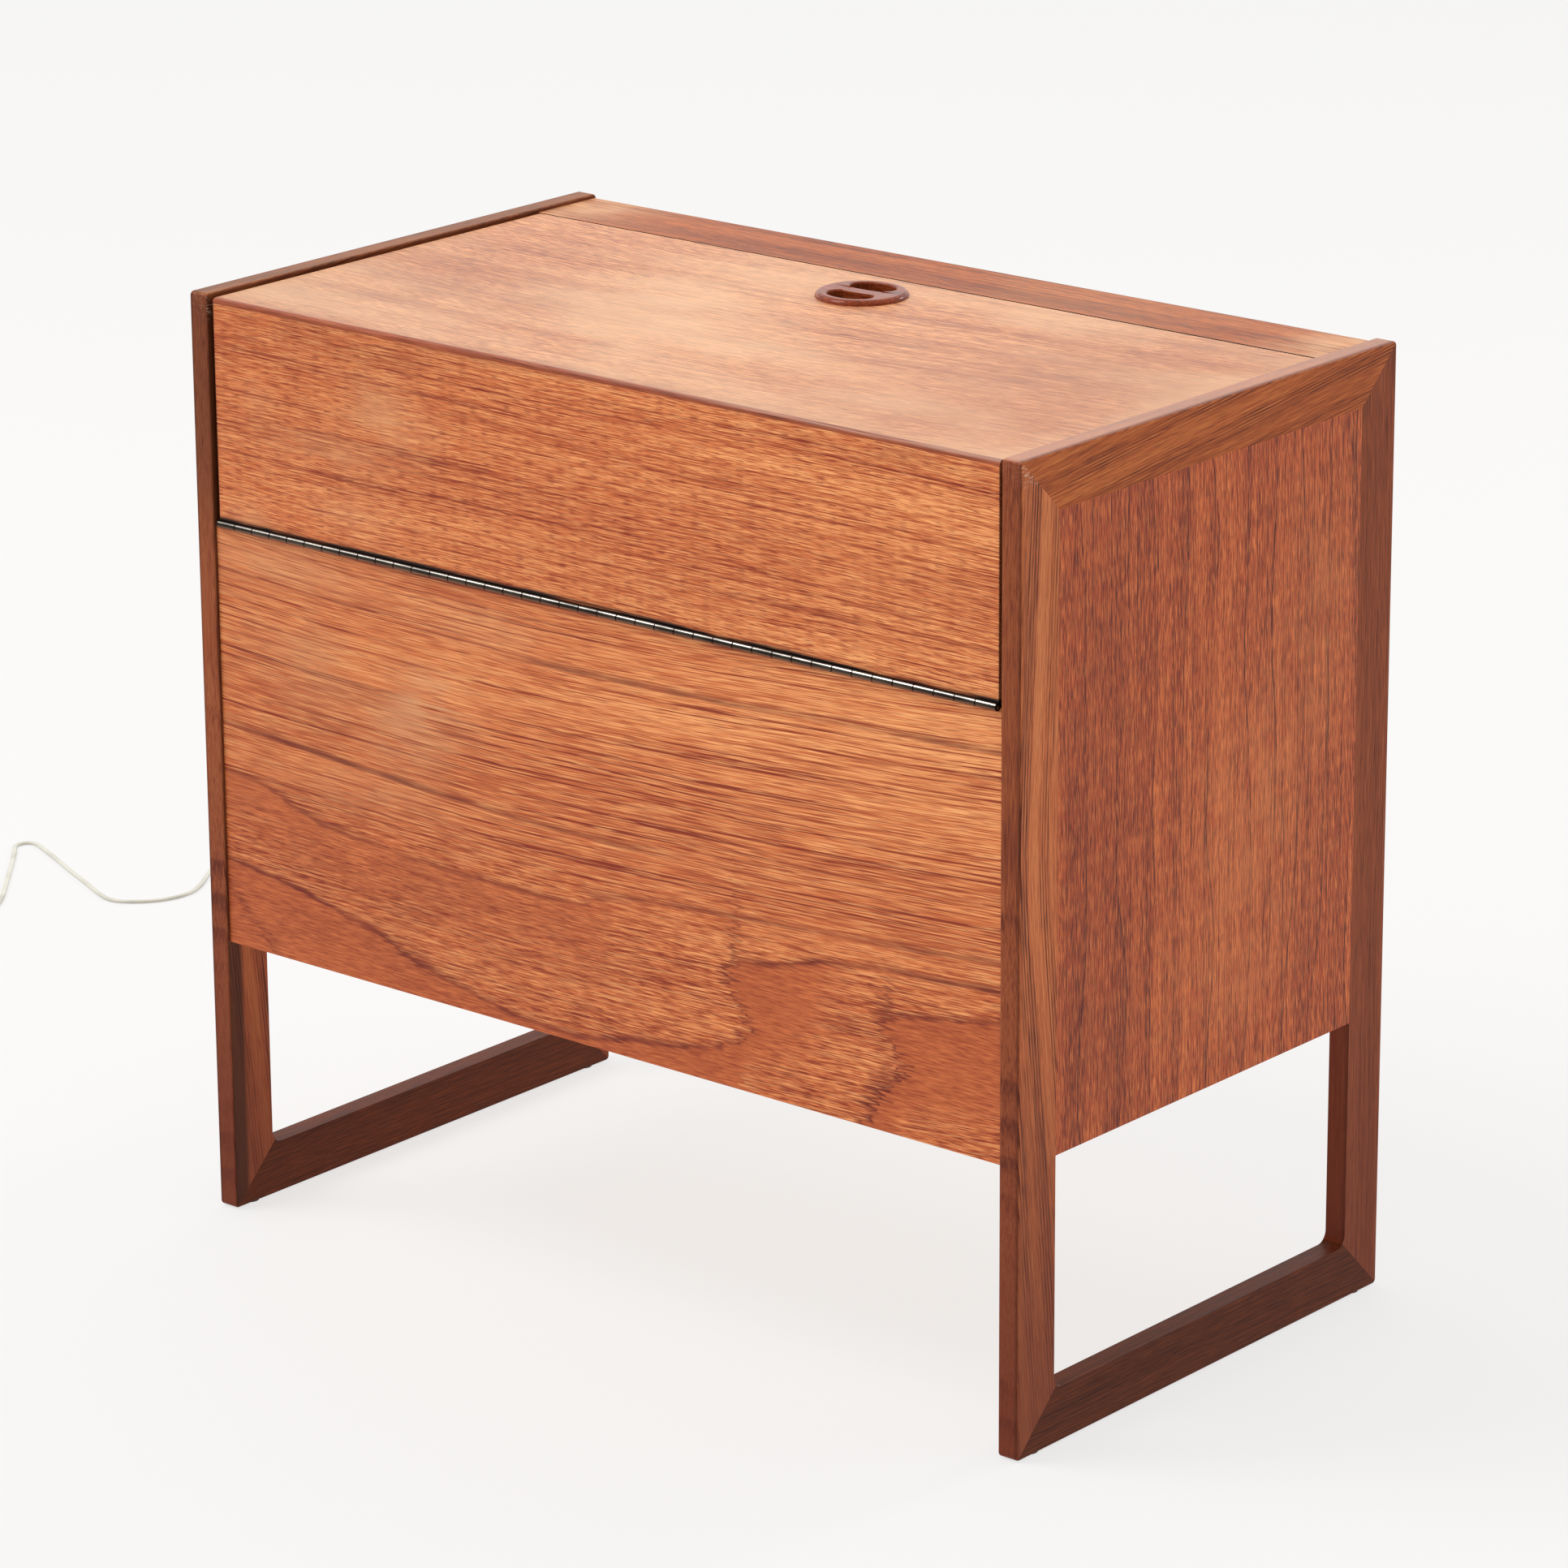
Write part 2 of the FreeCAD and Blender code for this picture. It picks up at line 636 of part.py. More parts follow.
def cord_route():
    """The free flex from its strain relief to the coil, in points chosen by hand."""
    exit_y = back + RELIEF_SNOUT
    hanging = [
        (lead_x, exit_y, EXIT_Z),
        (lead_x, 250.0, EXIT_Z),
        (lead_x - 1, 270.0, 252.0),
        (lead_x - 3, 280.0, 226.0),
        (lead_x - 5, 284.0, 180.0),
        (lead_x - 8, 286.0, 120.0),
        (lead_x - 13, 288.0, 70.0),
        (lead_x - 24, 291.0, 32.0),
        (lead_x - 46, 294.0, 9.0),
        (lead_x - 78, 297.0, cord_z),
    ]
    lying = [
        (-430.0, 304.0),
        (-484.0, 316.0),
        (-546.0, 323.0),
        (-610.0, 319.0),
        (-672.0, 318.0),
        (-734.0, 328.0),
        (-796.0, 346.0),
        (-852.0, 372.0),
        (-902.0, 396.0),
        (-946.0, 412.0),
        (-984.0, 414.0),
        (-1009.0, 400.0),
        (-1012.0, 377.0),
        (-998.0, 353.0),
        (-983.0, 331.0),
        (-974.0, 308.0),
        (-979.0, 281.0),
        (-995.0, 260.0),
        (-1016.0, 248.0),
        (-1038.0, 255.0),
        (-1070.0, 269.5),
        (-1106.0, 284.5),
        (-1142.0, 301.0),
        (-1171.0, 313.0),
        (-1185.5, 319.5),
        (-1193.5, 317.0),
        (-1198.0, 310.5),
        (-1198.0, 302.5),
        (-1187.0, 290.5),
        (-1166.0, 267.5),
        (-1132.0, 229.0),
        (-1093.0, 185.0),
        (-1074.0, 152.0),
        (-1070.0, 122.0),
        (-1083.0, 96.0),
        (-1108.0, COIL_Y),
        (COIL_X, COIL_Y),
    ]
    points = [Vector(*p) for p in hanging]
    points += [Vector(x, y, cord_z) for x, y in lying]
    return points


def cord():
    edges = rounded_route(cord_route(), "cord")
    solid = tube(edges, CORD_D)
    check_tube(solid, edges, CORD_D, "cord")
    return solid


def arc_from(start, tangent, end):
    """The arc that leaves start along a tangent and reaches end."""
    chord = end - start
    half = chord.Length / 2
    turn = tangent.getAngle(chord)
    across = tangent - chord * (tangent.dot(chord) / chord.dot(chord))
    middle = start + chord * 0.5 + across.normalize() * half * math.tan(turn / 2)
    return Part.Arc(start, middle, end).toShape()


def biarc(start, leave, end, arrive):
    """Two tangent arcs between two points with given directions."""
    chord = end - start
    both = leave + arrive
    flat = 2 * (1 - leave.dot(arrive))
    reach = (math.sqrt(chord.dot(both) ** 2 + flat * chord.dot(chord)) - chord.dot(both)) / flat
    joint = (start + end + (leave - arrive) * reach) * 0.5
    second = arc_from(end, arrive * -1, joint)
    second.reverse()
    return [arc_from(start, leave, joint), second]


def coil_path():
    """Half turns that spiral in on the floor, climb a layer, and spiral out on top."""
    low = Vector(COIL_X, COIL_Y, cord_z)
    edges = [Part.LineSegment(low, low - X * CORD_D).toShape()]
    here = low - X * CORD_D
    heading = X * -1
    radius = COIL_R

    def turn_right(rise, leave, arrive_slope):
        """A quarter turn from here that may climb, and the direction that it ends in."""
        nonlocal here, heading
        aside = heading.cross(Z)
        end = here + (heading + aside) * radius + Z * rise
        arrive = (aside + Z * arrive_slope).normalize()
        edges.extend(biarc(here, leave, end, arrive))
        here, heading = end, aside
        return arrive

    for _ in range(COIL_HALF_TURNS_IN):
        turn_right(0, heading, 0)
        turn_right(0, heading, 0)
        radius -= COIL_STEP / 2
    steep = 1.5 * COIL_STEP / (math.pi * radius)
    climbing = turn_right(COIL_STEP / 2, heading, steep)
    turn_right(COIL_STEP / 2, climbing, 0)
    for _ in range(COIL_HALF_TURNS_OUT):
        radius += COIL_STEP / 2
        turn_right(0, heading, 0)
        turn_right(0, heading, 0)
    tail = here + heading * COIL_TAIL
    edges.append(Part.LineSegment(here, tail).toShape())
    return edges, tail


def least_gap(edges, diameter):
    """The smallest gap between turns of a tube, measured on points of its path."""
    points = Part.Wire(edges).discretize(Distance=2.0)
    step = 2.0
    apart = int(math.pi * diameter / step) + 2
    least = min(
        (a - b).Length
        for i, a in enumerate(points)
        for b in points[i + apart :]
    )
    return least - diameter


def cord_coil():
    edges, _ = coil_path()
    solid = tube(edges, CORD_D)
    check_tube(solid, edges, CORD_D, "cord_coil")
    print(f"cord_coil: least gap to itself {least_gap(edges, CORD_D):.2f}")
    return solid


def plug_body():
    """A flat moulded plug whose neck takes the flex."""
    _, tail = coil_path()
    high = 2 * (tail.z - PLUG_FLOOR)
    neck, wide = PLUG_NECK / 2, PLUG_WIDE / 2
    outline = [
        (0, -neck),
        (-PLUG_NECK_LONG, -wide),
        (-PLUG_LONG, -wide),
        (-PLUG_LONG, wide),
        (-PLUG_NECK_LONG, wide),
        (0, neck),
    ]
    points = [Vector(tail.x + x, tail.y + y, PLUG_FLOOR) for x, y in outline]
    body = Part.Face(Part.makePolygon(points + points[:1])).extrude(Z * high)
    body = body.makeFillet(PLUG_ROUND, along(body, Z))
    return body.makeFillet(0.6 * PLUG_ROUND, at_height(body, PLUG_FLOOR + high))


def plug_pins():
    _, tail = coil_path()
    pins = []
    for side in (-1, 1):
        root = tail - X * PLUG_LONG + Y * (side * PLUG_PIN_APART / 2)
        pins.append(rod(PLUG_PIN_D / 2, root, root - X * PLUG_PIN_LONG))
    return pins


def build():
    nodes = {}
    for side, name in ((-1, "left"), (1, "right")):
        for member, solid in frame_members(side).items():
            nodes[f"{name}_{member}"] = [solid]
        nodes[f"{name}_side_panel"] = [side_panel(side)]
    nodes["glides"] = glides()
    nodes["lower_front_panel"] = [lower_front_panel()]
    nodes["bottom_panel"] = [box(-inner, inner, front_in, back_in, CASE_BOTTOM, floor_top)]
    nodes["back_panel"] = [back_panel()]
    nodes["rear_top_strip"] = [box(-inner, inner, strip_front, back, top_in, top)]
    nodes["lid_rest_rail"] = [lid_rest_rail()]
    nodes["partition"] = [partition()]
    for name, solid in dividers().items():
        nodes[name] = [solid]
    nodes["shelf_cleats"] = shelf_cleats()
    nodes["glass_shelf"] = [glass_shelf()]
    nodes["hinge_fixed_leaf"] = [hinge_leaf(-1, 0)]
    nodes["hinge_lid_leaf"] = [hinge_leaf(1, 1)]
    nodes["hinge_pin"] = [hinge_pin()]
    nodes["lid_front_panel"] = [lid_front_panel()]
    nodes["lid_top_panel"] = [lid_top_panel()]
    nodes["lid_lipping"] = [lid_lipping()]
    nodes["lid_corner_strip"] = [lid_corner_strip()]
    nodes["pull_ring"] = [pull_ring()]
    nodes["pull_dish"] = [pull_dish()]
    nodes["lamp_holder"] = [lamp_holder()]
    nodes["lamp_bulb"] = [lamp_bulb()]
    nodes["switch_body"] = [switch_body()]
    nodes["switch_plunger"] = [switch_plunger()]
    nodes["lamp_lead"] = [lamp_lead()]
    nodes["switch_lead"] = [switch_lead()]
    nodes["lead_clips"] = lead_clips()
    nodes["strain_relief"] = [strain_relief()]
    nodes["cord"] = [cord()]
    nodes["cord_coil"] = [cord_coil()]
    nodes["plug_body"] = [plug_body()]
    nodes["plug_pins"] = plug_pins()
    return nodes


def export(nodes):
    os.makedirs("parts", exist_ok=True)
    for name, solids in nodes.items():
        for solid in solids:
            if not solid.isValid() or len(solid.Solids) != 1:
                print(f"{name}: not one valid solid")
        shape = solids[0] if len(solids) == 1 else Part.makeCompound(solids)
        shape.exportStep(f"parts/{name}.step")
    print(f"{len(nodes)} nodes")


export(build())
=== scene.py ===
import bmesh
import bpy
import math
from collections import namedtuple
from functools import partial
from mathutils import Matrix, Vector


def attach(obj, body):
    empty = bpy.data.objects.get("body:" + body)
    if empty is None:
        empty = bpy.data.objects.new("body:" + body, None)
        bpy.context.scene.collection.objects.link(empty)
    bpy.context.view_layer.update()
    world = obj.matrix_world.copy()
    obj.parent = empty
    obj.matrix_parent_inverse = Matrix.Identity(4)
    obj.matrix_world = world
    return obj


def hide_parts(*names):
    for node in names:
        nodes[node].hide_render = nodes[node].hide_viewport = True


# The looks of a teak cellarette, in metres, in the frame of its CAD model
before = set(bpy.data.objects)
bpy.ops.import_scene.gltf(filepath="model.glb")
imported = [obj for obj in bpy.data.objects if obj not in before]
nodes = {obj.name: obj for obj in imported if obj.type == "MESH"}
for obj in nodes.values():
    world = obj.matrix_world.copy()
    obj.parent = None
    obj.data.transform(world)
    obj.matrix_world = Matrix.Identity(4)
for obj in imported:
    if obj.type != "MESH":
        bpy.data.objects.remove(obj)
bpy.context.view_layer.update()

# Camera, worked out from sixteen corners of the cabinet in the photograph
CAMERA_AT = Vector((3.12047, -3.68138, 1.92313))
CAMERA_AZIMUTH = math.radians(40.301)
CAMERA_ELEVATION = math.radians(17.735)
CAMERA_ROLL = math.radians(-0.366)
FOCAL_PIXELS = 8113.05
PHOTO_PIXELS = 1932
SENSOR_MM = 36.0
FAR_CLIP = 100.0

# Flex: a flat twin cord, its route's points as in the CAD model, in millimetres
MM = 0.001
FLEX_WIDE = 5.0
FLEX_LOBE = 1.5
FLEX_LOBE_STEPS = 8
FLEX_ROUTE_STEPS = 8
FLEX_Z = 1.7
FLEX_EXIT = (-300.5, 229.0, 264.0)
FLEX_HANGING = [
    FLEX_EXIT, (-300.5, 250.0, 264.0), (-301.5, 270.0, 252.0), (-303.5, 280.0, 226.0),
    (-305.5, 284.0, 180.0), (-308.5, 286.0, 120.0), (-313.5, 288.0, 70.0), (-324.5, 291.0, 32.0),
    (-346.5, 294.0, 9.0), (-378.5, 297.0, FLEX_Z),
]
FLEX_LYING = [
    (-430.0, 304.0), (-484.0, 316.0), (-546.0, 323.0), (-610.0, 319.0), (-672.0, 318.0),
    (-734.0, 328.0), (-796.0, 346.0), (-852.0, 372.0), (-902.0, 396.0), (-946.0, 412.0),
    (-984.0, 414.0), (-1009.0, 400.0), (-1012.0, 377.0), (-998.0, 353.0), (-983.0, 331.0),
    (-974.0, 308.0), (-979.0, 281.0), (-995.0, 260.0), (-1016.0, 248.0), (-1038.0, 255.0),
    (-1070.0, 269.5), (-1106.0, 284.5), (-1142.0, 301.0), (-1171.0, 313.0), (-1188.0, 320.5),
    (-1197.0, 318.5), (-1201.0, 311.0), (-1199.5, 302.0), (-1187.0, 290.5), (-1166.0, 267.5),
    (-1132.0, 229.0), (-1093.0, 185.0), (-1074.0, 152.0), (-1070.0, 122.0), (-1083.0, 96.0),
    (-1108.0, 85.0), (-1134.0, 85.0),
]

# Coil at the flex's end, in millimetres, and its tail's climb to the plug, as shares
COIL_X = -1134.0
COIL_R = 34.0
COIL_STEP = 5.6
COIL_LAYER = 3.4
COIL_HALF_TURNS_IN = 5
COIL_HALF_TURNS_OUT = 6
COIL_POINTS = 8
COIL_TAIL = 34.0
COIL_TAIL_CLIMB = ((0.25, 0.1), (0.5, 0.5), (0.75, 0.95), (1.0, 1.0))
PLUG_AXIS_Z = 8.2

# Twist tie round the coil, in millimetres: lowest and highest y and z and corner radius, in and out
TIE_INSIDE = ((139.0, 0.17), (161.4, 6.9), 2.4)
TIE_OUTSIDE = ((138.5, 0.03), (161.9, 7.4), 2.8)
TIE_CORNER_STEPS = 5
TIE_WIDE = 4.0
TIE_THICK = 0.35
TIE_TWIST_Z = 2.4
TIE_TWIST_ROOT = 0.2
TIE_TWIST_WIDE = 0.4
TIE_END = 13.0
TIE_TURNS = 1.5
TIE_STEPS = 36

# Hinge screws, in metres, with the height of each ring of a head and how far it is drawn in
SCREWS = 13
SCREW_PITCH = 0.060
SCREW_Y = -0.2125
SCREW_R = 0.0027
SCREW_SLOT = 0.0007
SCREW_HALF_MIDDLE = SCREW_R * 0.4
SCREW_PROUD = 0.0001
SCREW_SUNK = 0.0003
SCREW_RINGS = ((-SCREW_SUNK, 0.0), (SCREW_PROUD * 0.4, 0.0), (SCREW_PROUD, 0.1))
SCREW_TURN = 2.4
SCREW_STEPS = 14
FIXED_LEAF_FACE = 0.5683
LID_LEAF_FACE = 0.5687


def screen(red, green, blue):
    """An 8-bit screen colour as linear light."""
    shares = [c / 255 for c in (red, green, blue)]
    return tuple(c / 12.92 if c <= 0.04045 else ((c + 0.055) / 1.055) ** 2.4 for c in shares)


# Wood shades: dark, middle and light
TEAK_FRONT = (screen(136, 46, 24), screen(214, 116, 65), screen(254, 176, 112))
TEAK_TOP = (screen(136, 62, 34), screen(214, 136, 82), screen(242, 182, 128))
TEAK_STRIP = (screen(96, 40, 16), screen(176, 86, 32), screen(200, 118, 62))
TEAK_SIDE = (screen(80, 24, 16), screen(184, 77, 38), screen(232, 130, 70))
TEAK_LEG = (screen(88, 38, 26), screen(198, 106, 60), screen(222, 138, 84))
TEAK_RAIL = (screen(88, 36, 18), screen(172, 84, 38), screen(208, 124, 64))
TEAK_REAR = (screen(72, 32, 22), screen(146, 72, 42), screen(170, 98, 64))
TEAK_RUNNER = (screen(48, 20, 10), screen(94, 41, 18), screen(118, 60, 32))
TEAK_LIPPING = (screen(96, 42, 26), screen(158, 78, 50), screen(188, 110, 72))
TEAK_PULL = (screen(64, 20, 8), screen(138, 58, 28), screen(176, 90, 50))
# The dish inside the pull: teak darkened to near black as painted shade in its hollow
TEAK_DISH_SHADED = (screen(18, 4, 2), screen(44, 12, 6), screen(70, 24, 12))
TEAK_BACK = (screen(112, 56, 32), screen(164, 92, 54), screen(188, 120, 76))
BEECH = (screen(178, 126, 82), screen(220, 172, 122), screen(238, 200, 154))

# Shades of worn, soiled and shaded places on the wood, and of painted light, sheen and highlights on it
WORN = screen(232, 168, 118)
# Soil, and painted shade towards the floor, on rail arrises and on the top's right side
SOIL_AND_SHADE = screen(102, 42, 26)
# Painted light: a lighter shade for patches of light and sheen on the faces
PAINTED_LIGHT = screen(240, 152, 92)
# Bleached and worn places, and a painted sheen
BLEACH_AND_SHEEN = screen(226, 178, 134)
# Painted shade in gaps, and a painted shadow above the hinge
GAP_DARK = screen(34, 16, 10)
GROWTH_DARK = screen(104, 28, 22)
# Painted shade in recesses, inner corners and on arrises, and the dark upper ends of frame members
RECESS = screen(40, 16, 8)
# Painted sheen on the rails' upper faces, dull on the left and pale on the right
SHEEN_DULL = screen(92, 70, 40)
SHEEN_PALE = screen(198, 164, 146)
# Worn, rubbed places, and a painted highlight on the lipping
WEAR_AND_HIGHLIGHT = screen(240, 214, 190)

# Metals, each with its tarnish, and the hinge's painted highlight on its crest, its flat leaf, and a
# painted reflection of warm wood on its underside
BRONZE = (screen(70, 63, 55), screen(36, 31, 27))
STEEL = (screen(150, 144, 134), screen(90, 82, 72))
BRASS = (screen(214, 178, 110), screen(160, 124, 70))
SCREW_BRASS = (screen(150, 132, 98), screen(86, 70, 48))
CREST_HIGHLIGHT = screen(224, 220, 212)
LEAF_BRONZE = screen(158, 140, 110)
KNUCKLE_REFLECTION = screen(164, 110, 82)

# Plastics, paper and glass
GLIDE_BLACK = screen(34, 33, 32)
HOLDER_BLACK = screen(28, 26, 25)
PLUNGER_IVORY = screen(226, 216, 192)
CLIP_IVORY = screen(222, 212, 190)
PLUG_IVORY = screen(224, 216, 194)
FLEX_IVORY = screen(206, 203, 190)
TIE_PAPER = screen(214, 208, 194)
SHELF_TINT = (0.9, 0.97, 0.94)
BULB_TINT = (0.97, 0.95, 0.92)

# How short and fine the grain is, and how strongly each part of it shows
Grain = namedtuple("Grain", "short fine dash streak band late fleck pore")
UPPER_GRAIN = Grain(0.6, 0.75, 0.65, 0.3, 0.3, 0.3, 0.45, 0.7)
LOWER_GRAIN = Grain(1.0, 0.8, 0.55, 0.45, 0.3, 0.55, 0.6, 0.5)
TOP_GRAIN = Grain(0.6, 0.6, 0.95, 0.35, 0.25, 0.4, 0.35, 1.0)
STRIP_GRAIN = Grain(0.6, 0.6, 0.8, 0.45, 0.4, 0.4, 0.3, 0.7)
SIDE_GRAIN = Grain(0.4, 0.5, 0.85, 0.3, 0.25, 0.3, 0.75, 0.7)
SOLID_GRAIN = Grain(0.7, 0.65, 0.5, 0.35, 0.25, 0.15, 0.25, 0.35)

# Each part of the grain: its length and width, its detail and its seed
DASH = (0.040, 0.0011, 1.0, 3.0)
STREAK = (0.1, 0.002, 1.0, 83.0)
LATE = (0.34, 0.0028, 1.0, 57.0)
BAND = (0.9, 0.036, 1.0, 127.0)
PORE = (0.018, 0.0007, 0.0, 41.0)
FLECK = (0.040, 0.001, 0.0, 211.0)

# How the grain wanders, where its sparse parts show, and how it is shaded and polished
WANDER = 0.005
WANDER_CELL = (0.34, 0.16, 0.16)
LATE_RAGGED = 0.05
SPARSE = (0.55, 0.68)
PORES_KEPT = 0.5
PORE_DEPTH = 0.00012
SHADES_AT = (0.06, 0.5, 0.94)
MIDDLE_TONE = 0.5
ROUGHNESS_SWAY = 0.1
COAT_ROUGHNESS = 0.05

# Faces that have places on them: the axes across and up, from edge to edge
LOWER_FACE = (("x", -0.388, 0.388), ("z", 0.226, 0.568))
UPPER_FACE = (("x", -0.388, 0.388), ("z", 0.5695, 0.748))
TOP_FACE = (("x", -0.388, 0.388), ("y", -0.221, 0.221))
SIDE_FACE = (("y", -0.224, 0.224), ("z", 0.0, 0.75))

# How squarely a surface faces a way, from where that counts to in full
FACING = (0.5, 0.9)
FACING_UP = (0.6, 0.9)
FACING_EDGE = (0.5, 0.95)

# Growth lines of the lower front, as shares of its width and height
FLAME_LOW = -0.5
GROWTH_TOP = [(0, 0.87), (0.28, 0.855), (0.45, 0.858), (0.68, 0.871), (0.77, 0.883), (1, 0.905)]
GROWTH_MIDDLE = [
    (0, 0.535), (0.1, 0.522), (0.2, 0.508), (0.31, 0.496), (0.45, 0.487), (0.7, 0.5), (1, 0.53),
]
GROWTH_ARCH = [
    (0, 0.42), (0.05, 0.41), (0.13, 0.357), (0.23, 0.332), (0.36, 0.322), (0.477, 0.325),
    (0.5, 0.352), (0.55, 0.374), (0.64, 0.39), (0.77, 0.409), (0.9, 0.43), (1, 0.447),
]
GROWTH_BOWL = [
    (0, 0.206), (0.064, 0.187), (0.129, 0.156), (0.193, 0.126), (0.258, 0.083), (0.322, 0.053),
    (0.4, 0.023), (0.464, 0.018), (0.548, 0.047), (0.619, 0.069), (0.664, 0.105), (0.672, 0.16),
    (0.68, 0.28), (0.741, 0.313), (0.764, 0.333), (0.838, 0.36), (0.934, 0.376), (1, 0.386),
]
GROWTH_LOBE = [
    (0, -0.45), (0.6, -0.4), (0.8, -0.25), (0.838, -0.02), (0.844, 0.05), (0.857, 0.108),
    (0.862, 0.17), (0.867, 0.24), (0.883, 0.266), (0.934, 0.289), (1, 0.319),
]
GROWTH_CORNER = [(0, 0.12), (0.026, 0.08), (0.05, 0.05), (0.064, 0), (0.09, -0.3), (1, -0.45)]

# How dark each line is, where it starts and ends, and the plain wood below it: how dark that is,
# how far down it fades and how far across it reaches
GrowthLine = namedtuple(
    "GrowthLine", "points dark start end plain fade reach", defaults=(-0.5, 1.5, 0.0, 0.0, 1.5)
)
FLAME_LINES = (
    GrowthLine(GROWTH_TOP, dark=0.75, start=0.36),
    GrowthLine(GROWTH_MIDDLE, dark=0.85, end=0.7),
    GrowthLine(GROWTH_ARCH, dark=0.6, plain=0.035, fade=0.34, reach=0.62),
    GrowthLine(GROWTH_BOWL, dark=0.9, plain=0.075, fade=0.36, reach=0.86),
    GrowthLine(GROWTH_LOBE, dark=1.0, plain=0.09, fade=0.34),
    GrowthLine(GROWTH_CORNER, dark=0.6, plain=0.055, fade=0.2),
)

# The lines' ragged course: their teeth, and tips with a height, a reach and a push aside
FLAME_TEETH = (0.03, 0.0026, 0.0026)
FLAME_JAG = 0.03
FLAME_RAGGED = 0.004
FLAME_TIPS = ((0.148, 0.05, 0.023), (0.255, 0.045, -0.013))
FLAME_STEP = 0.008
FLAME_ASPECT = 0.342 / 0.776

# The lines' edges above and below, how they smear where steep, start, end and turn faint
FLAME_ABOVE = (-0.02, 0.02 / 6)
FLAME_BELOW = (0.004, 0.012)
FLAME_SMEAR = 4.0
FLAME_START = 0.1
FLAME_END = 0.3
FLAME_FAINT = (0.05, 0.012, 0.012)
FLAME_FAINT_COVER = (0.35, 0.65)
FLAME_FAINTEST = 0.5

# The plain wood below the lines, and where other wood is lively, long-grained and light
PLAIN_BELOW = (-0.003, 0.001)
PLAIN_ENDS = 0.15
CALM = (0.005, 0.05)
LIVELY_ACROSS = (0.25, 0.8)
LIVELY_UP = (0.35, 0.6)
LIVELY_LEAST = 0.75
LIVELY_MORE = 0.5
LONG_GRAIN_UP = (0.28, 0.5)
LONG_GRAIN_LEAST = 0.6
SHORT_GRAIN = 0.7
SHORT_GRAIN_CELL = (0.012, 0.0009, 0.0009)
SHORT_GRAIN_CALM = 0.5
LIGHT_UP = (0.25, 0.65)
LIGHT_LEAST = 0.39
LIGHT_MORE = 0.13
PALE_ACROSS = (0.4, 0.9)
PALE_UP = (0.4, 0.8)
PALE_MORE = 0.19

# Soft patches on the faces: shade, middle and reach across and up, and strength. The bright patches are
# painted light and sheen
LOWER_PATCHES = (
    (WORN, 0.29, 0.70, 0.05, 0.07, 0.9),
    (WORN, 0.25, 0.60, 0.05, 0.06, 0.7),
    (WORN, 0.1, 0.94, 0.14, 0.05, 0.4),
    (WORN, 0.12, 0.72, 0.07, 0.1, 0.3),
    (WORN, 0.2, 0.45, 0.1, 0.05, 0.25),
    (WORN, 0.36, 0.9, 0.08, 0.05, 0.3),
    (PAINTED_LIGHT, 0.85, 0.8, 0.25, 0.3, 0.15),
    (SOIL_AND_SHADE, 0.4, 0.168, 0.06, 0.008, 0.5),
    (SOIL_AND_SHADE, 0.1, 0.6, 0.3, 0.5, 0.2),
    (SOIL_AND_SHADE, 0.3, 0.15, 0.25, 0.15, 0.15),
)
UPPER_PATCHES = (
    (WORN, 0.235, 0.63, 0.05, 0.14, 0.5),
    (WORN, 0.16, 0.42, 0.08, 0.07, 0.4),
    (WORN, 0.06, 0.6, 0.02, 0.07, 0.3),
    (WORN, 0.05, 0.05, 0.03, 0.07, 0.45),
    (WORN, 0.2, 0.17, 0.06, 0.1, 0.25),
    (PAINTED_LIGHT, 0.9, 0.45, 0.18, 0.4, 0.15),
    (SOIL_AND_SHADE, 0.55, 0.2, 0.16, 0.16, 0.1),
    (SOIL_AND_SHADE, 0.22, 0.9, 0.1, 0.05, 0.25),
    (SOIL_AND_SHADE, 0.84, 0.93, 0.14, 0.04, 0.25),
    (SOIL_AND_SHADE, 0.12, 0.7, 0.25, 0.6, 0.15),
    # A painted shadow along the lid front's lower edge, above the hinge
    (GAP_DARK, 0.5, 0.011, 9.0, 0.0125, 2.0),
    (SOIL_AND_SHADE, 0.3, 0.98, 0.35, 0.03, 0.45),
)
# On the top the pale patches at the edges are bleached and worn; the broad pale middle is painted sheen
# and the darker right is painted shade
TOP_PATCHES = (
    (BLEACH_AND_SHEEN, 0.58, 0.32, 0.3, 0.3, 0.3),
    (BLEACH_AND_SHEEN, 0.44, 0.36, 0.035, 0.05, 0.6),
    (BLEACH_AND_SHEEN, 0.37, 0.49, 0.06, 0.07, 0.5),
    (BLEACH_AND_SHEEN, 0.0, 0.4, 0.045, 0.5, 0.4),
    (BLEACH_AND_SHEEN, 1.0, 0.3, 0.035, 0.4, 0.8),
    (BLEACH_AND_SHEEN, 0.46, 0.7, 0.08, 0.09, 0.5),
    (BLEACH_AND_SHEEN, 0.03, 0.2, 0.06, 0.2, 0.25),
    (SOIL_AND_SHADE, 0.9, 0.5, 0.18, 0.5, 0.45),
    (PAINTED_LIGHT, 0.88, 0.4, 0.2, 0.5, 0.2),
    (SOIL_AND_SHADE, 0.84, 0.45, 0.07, 0.1, 0.25),
    (SOIL_AND_SHADE, 0.4, 0.18, 0.06, 0.05, 0.15),
    (SOIL_AND_SHADE, 0.8, 0.12, 0.1, 0.06, 0.12),
    (SOIL_AND_SHADE, 0.1, 0.2, 0.2, 0.5, 0.3),
    (SOIL_AND_SHADE, 0.48, 0.0, 0.32, 0.05, 0.3),
)
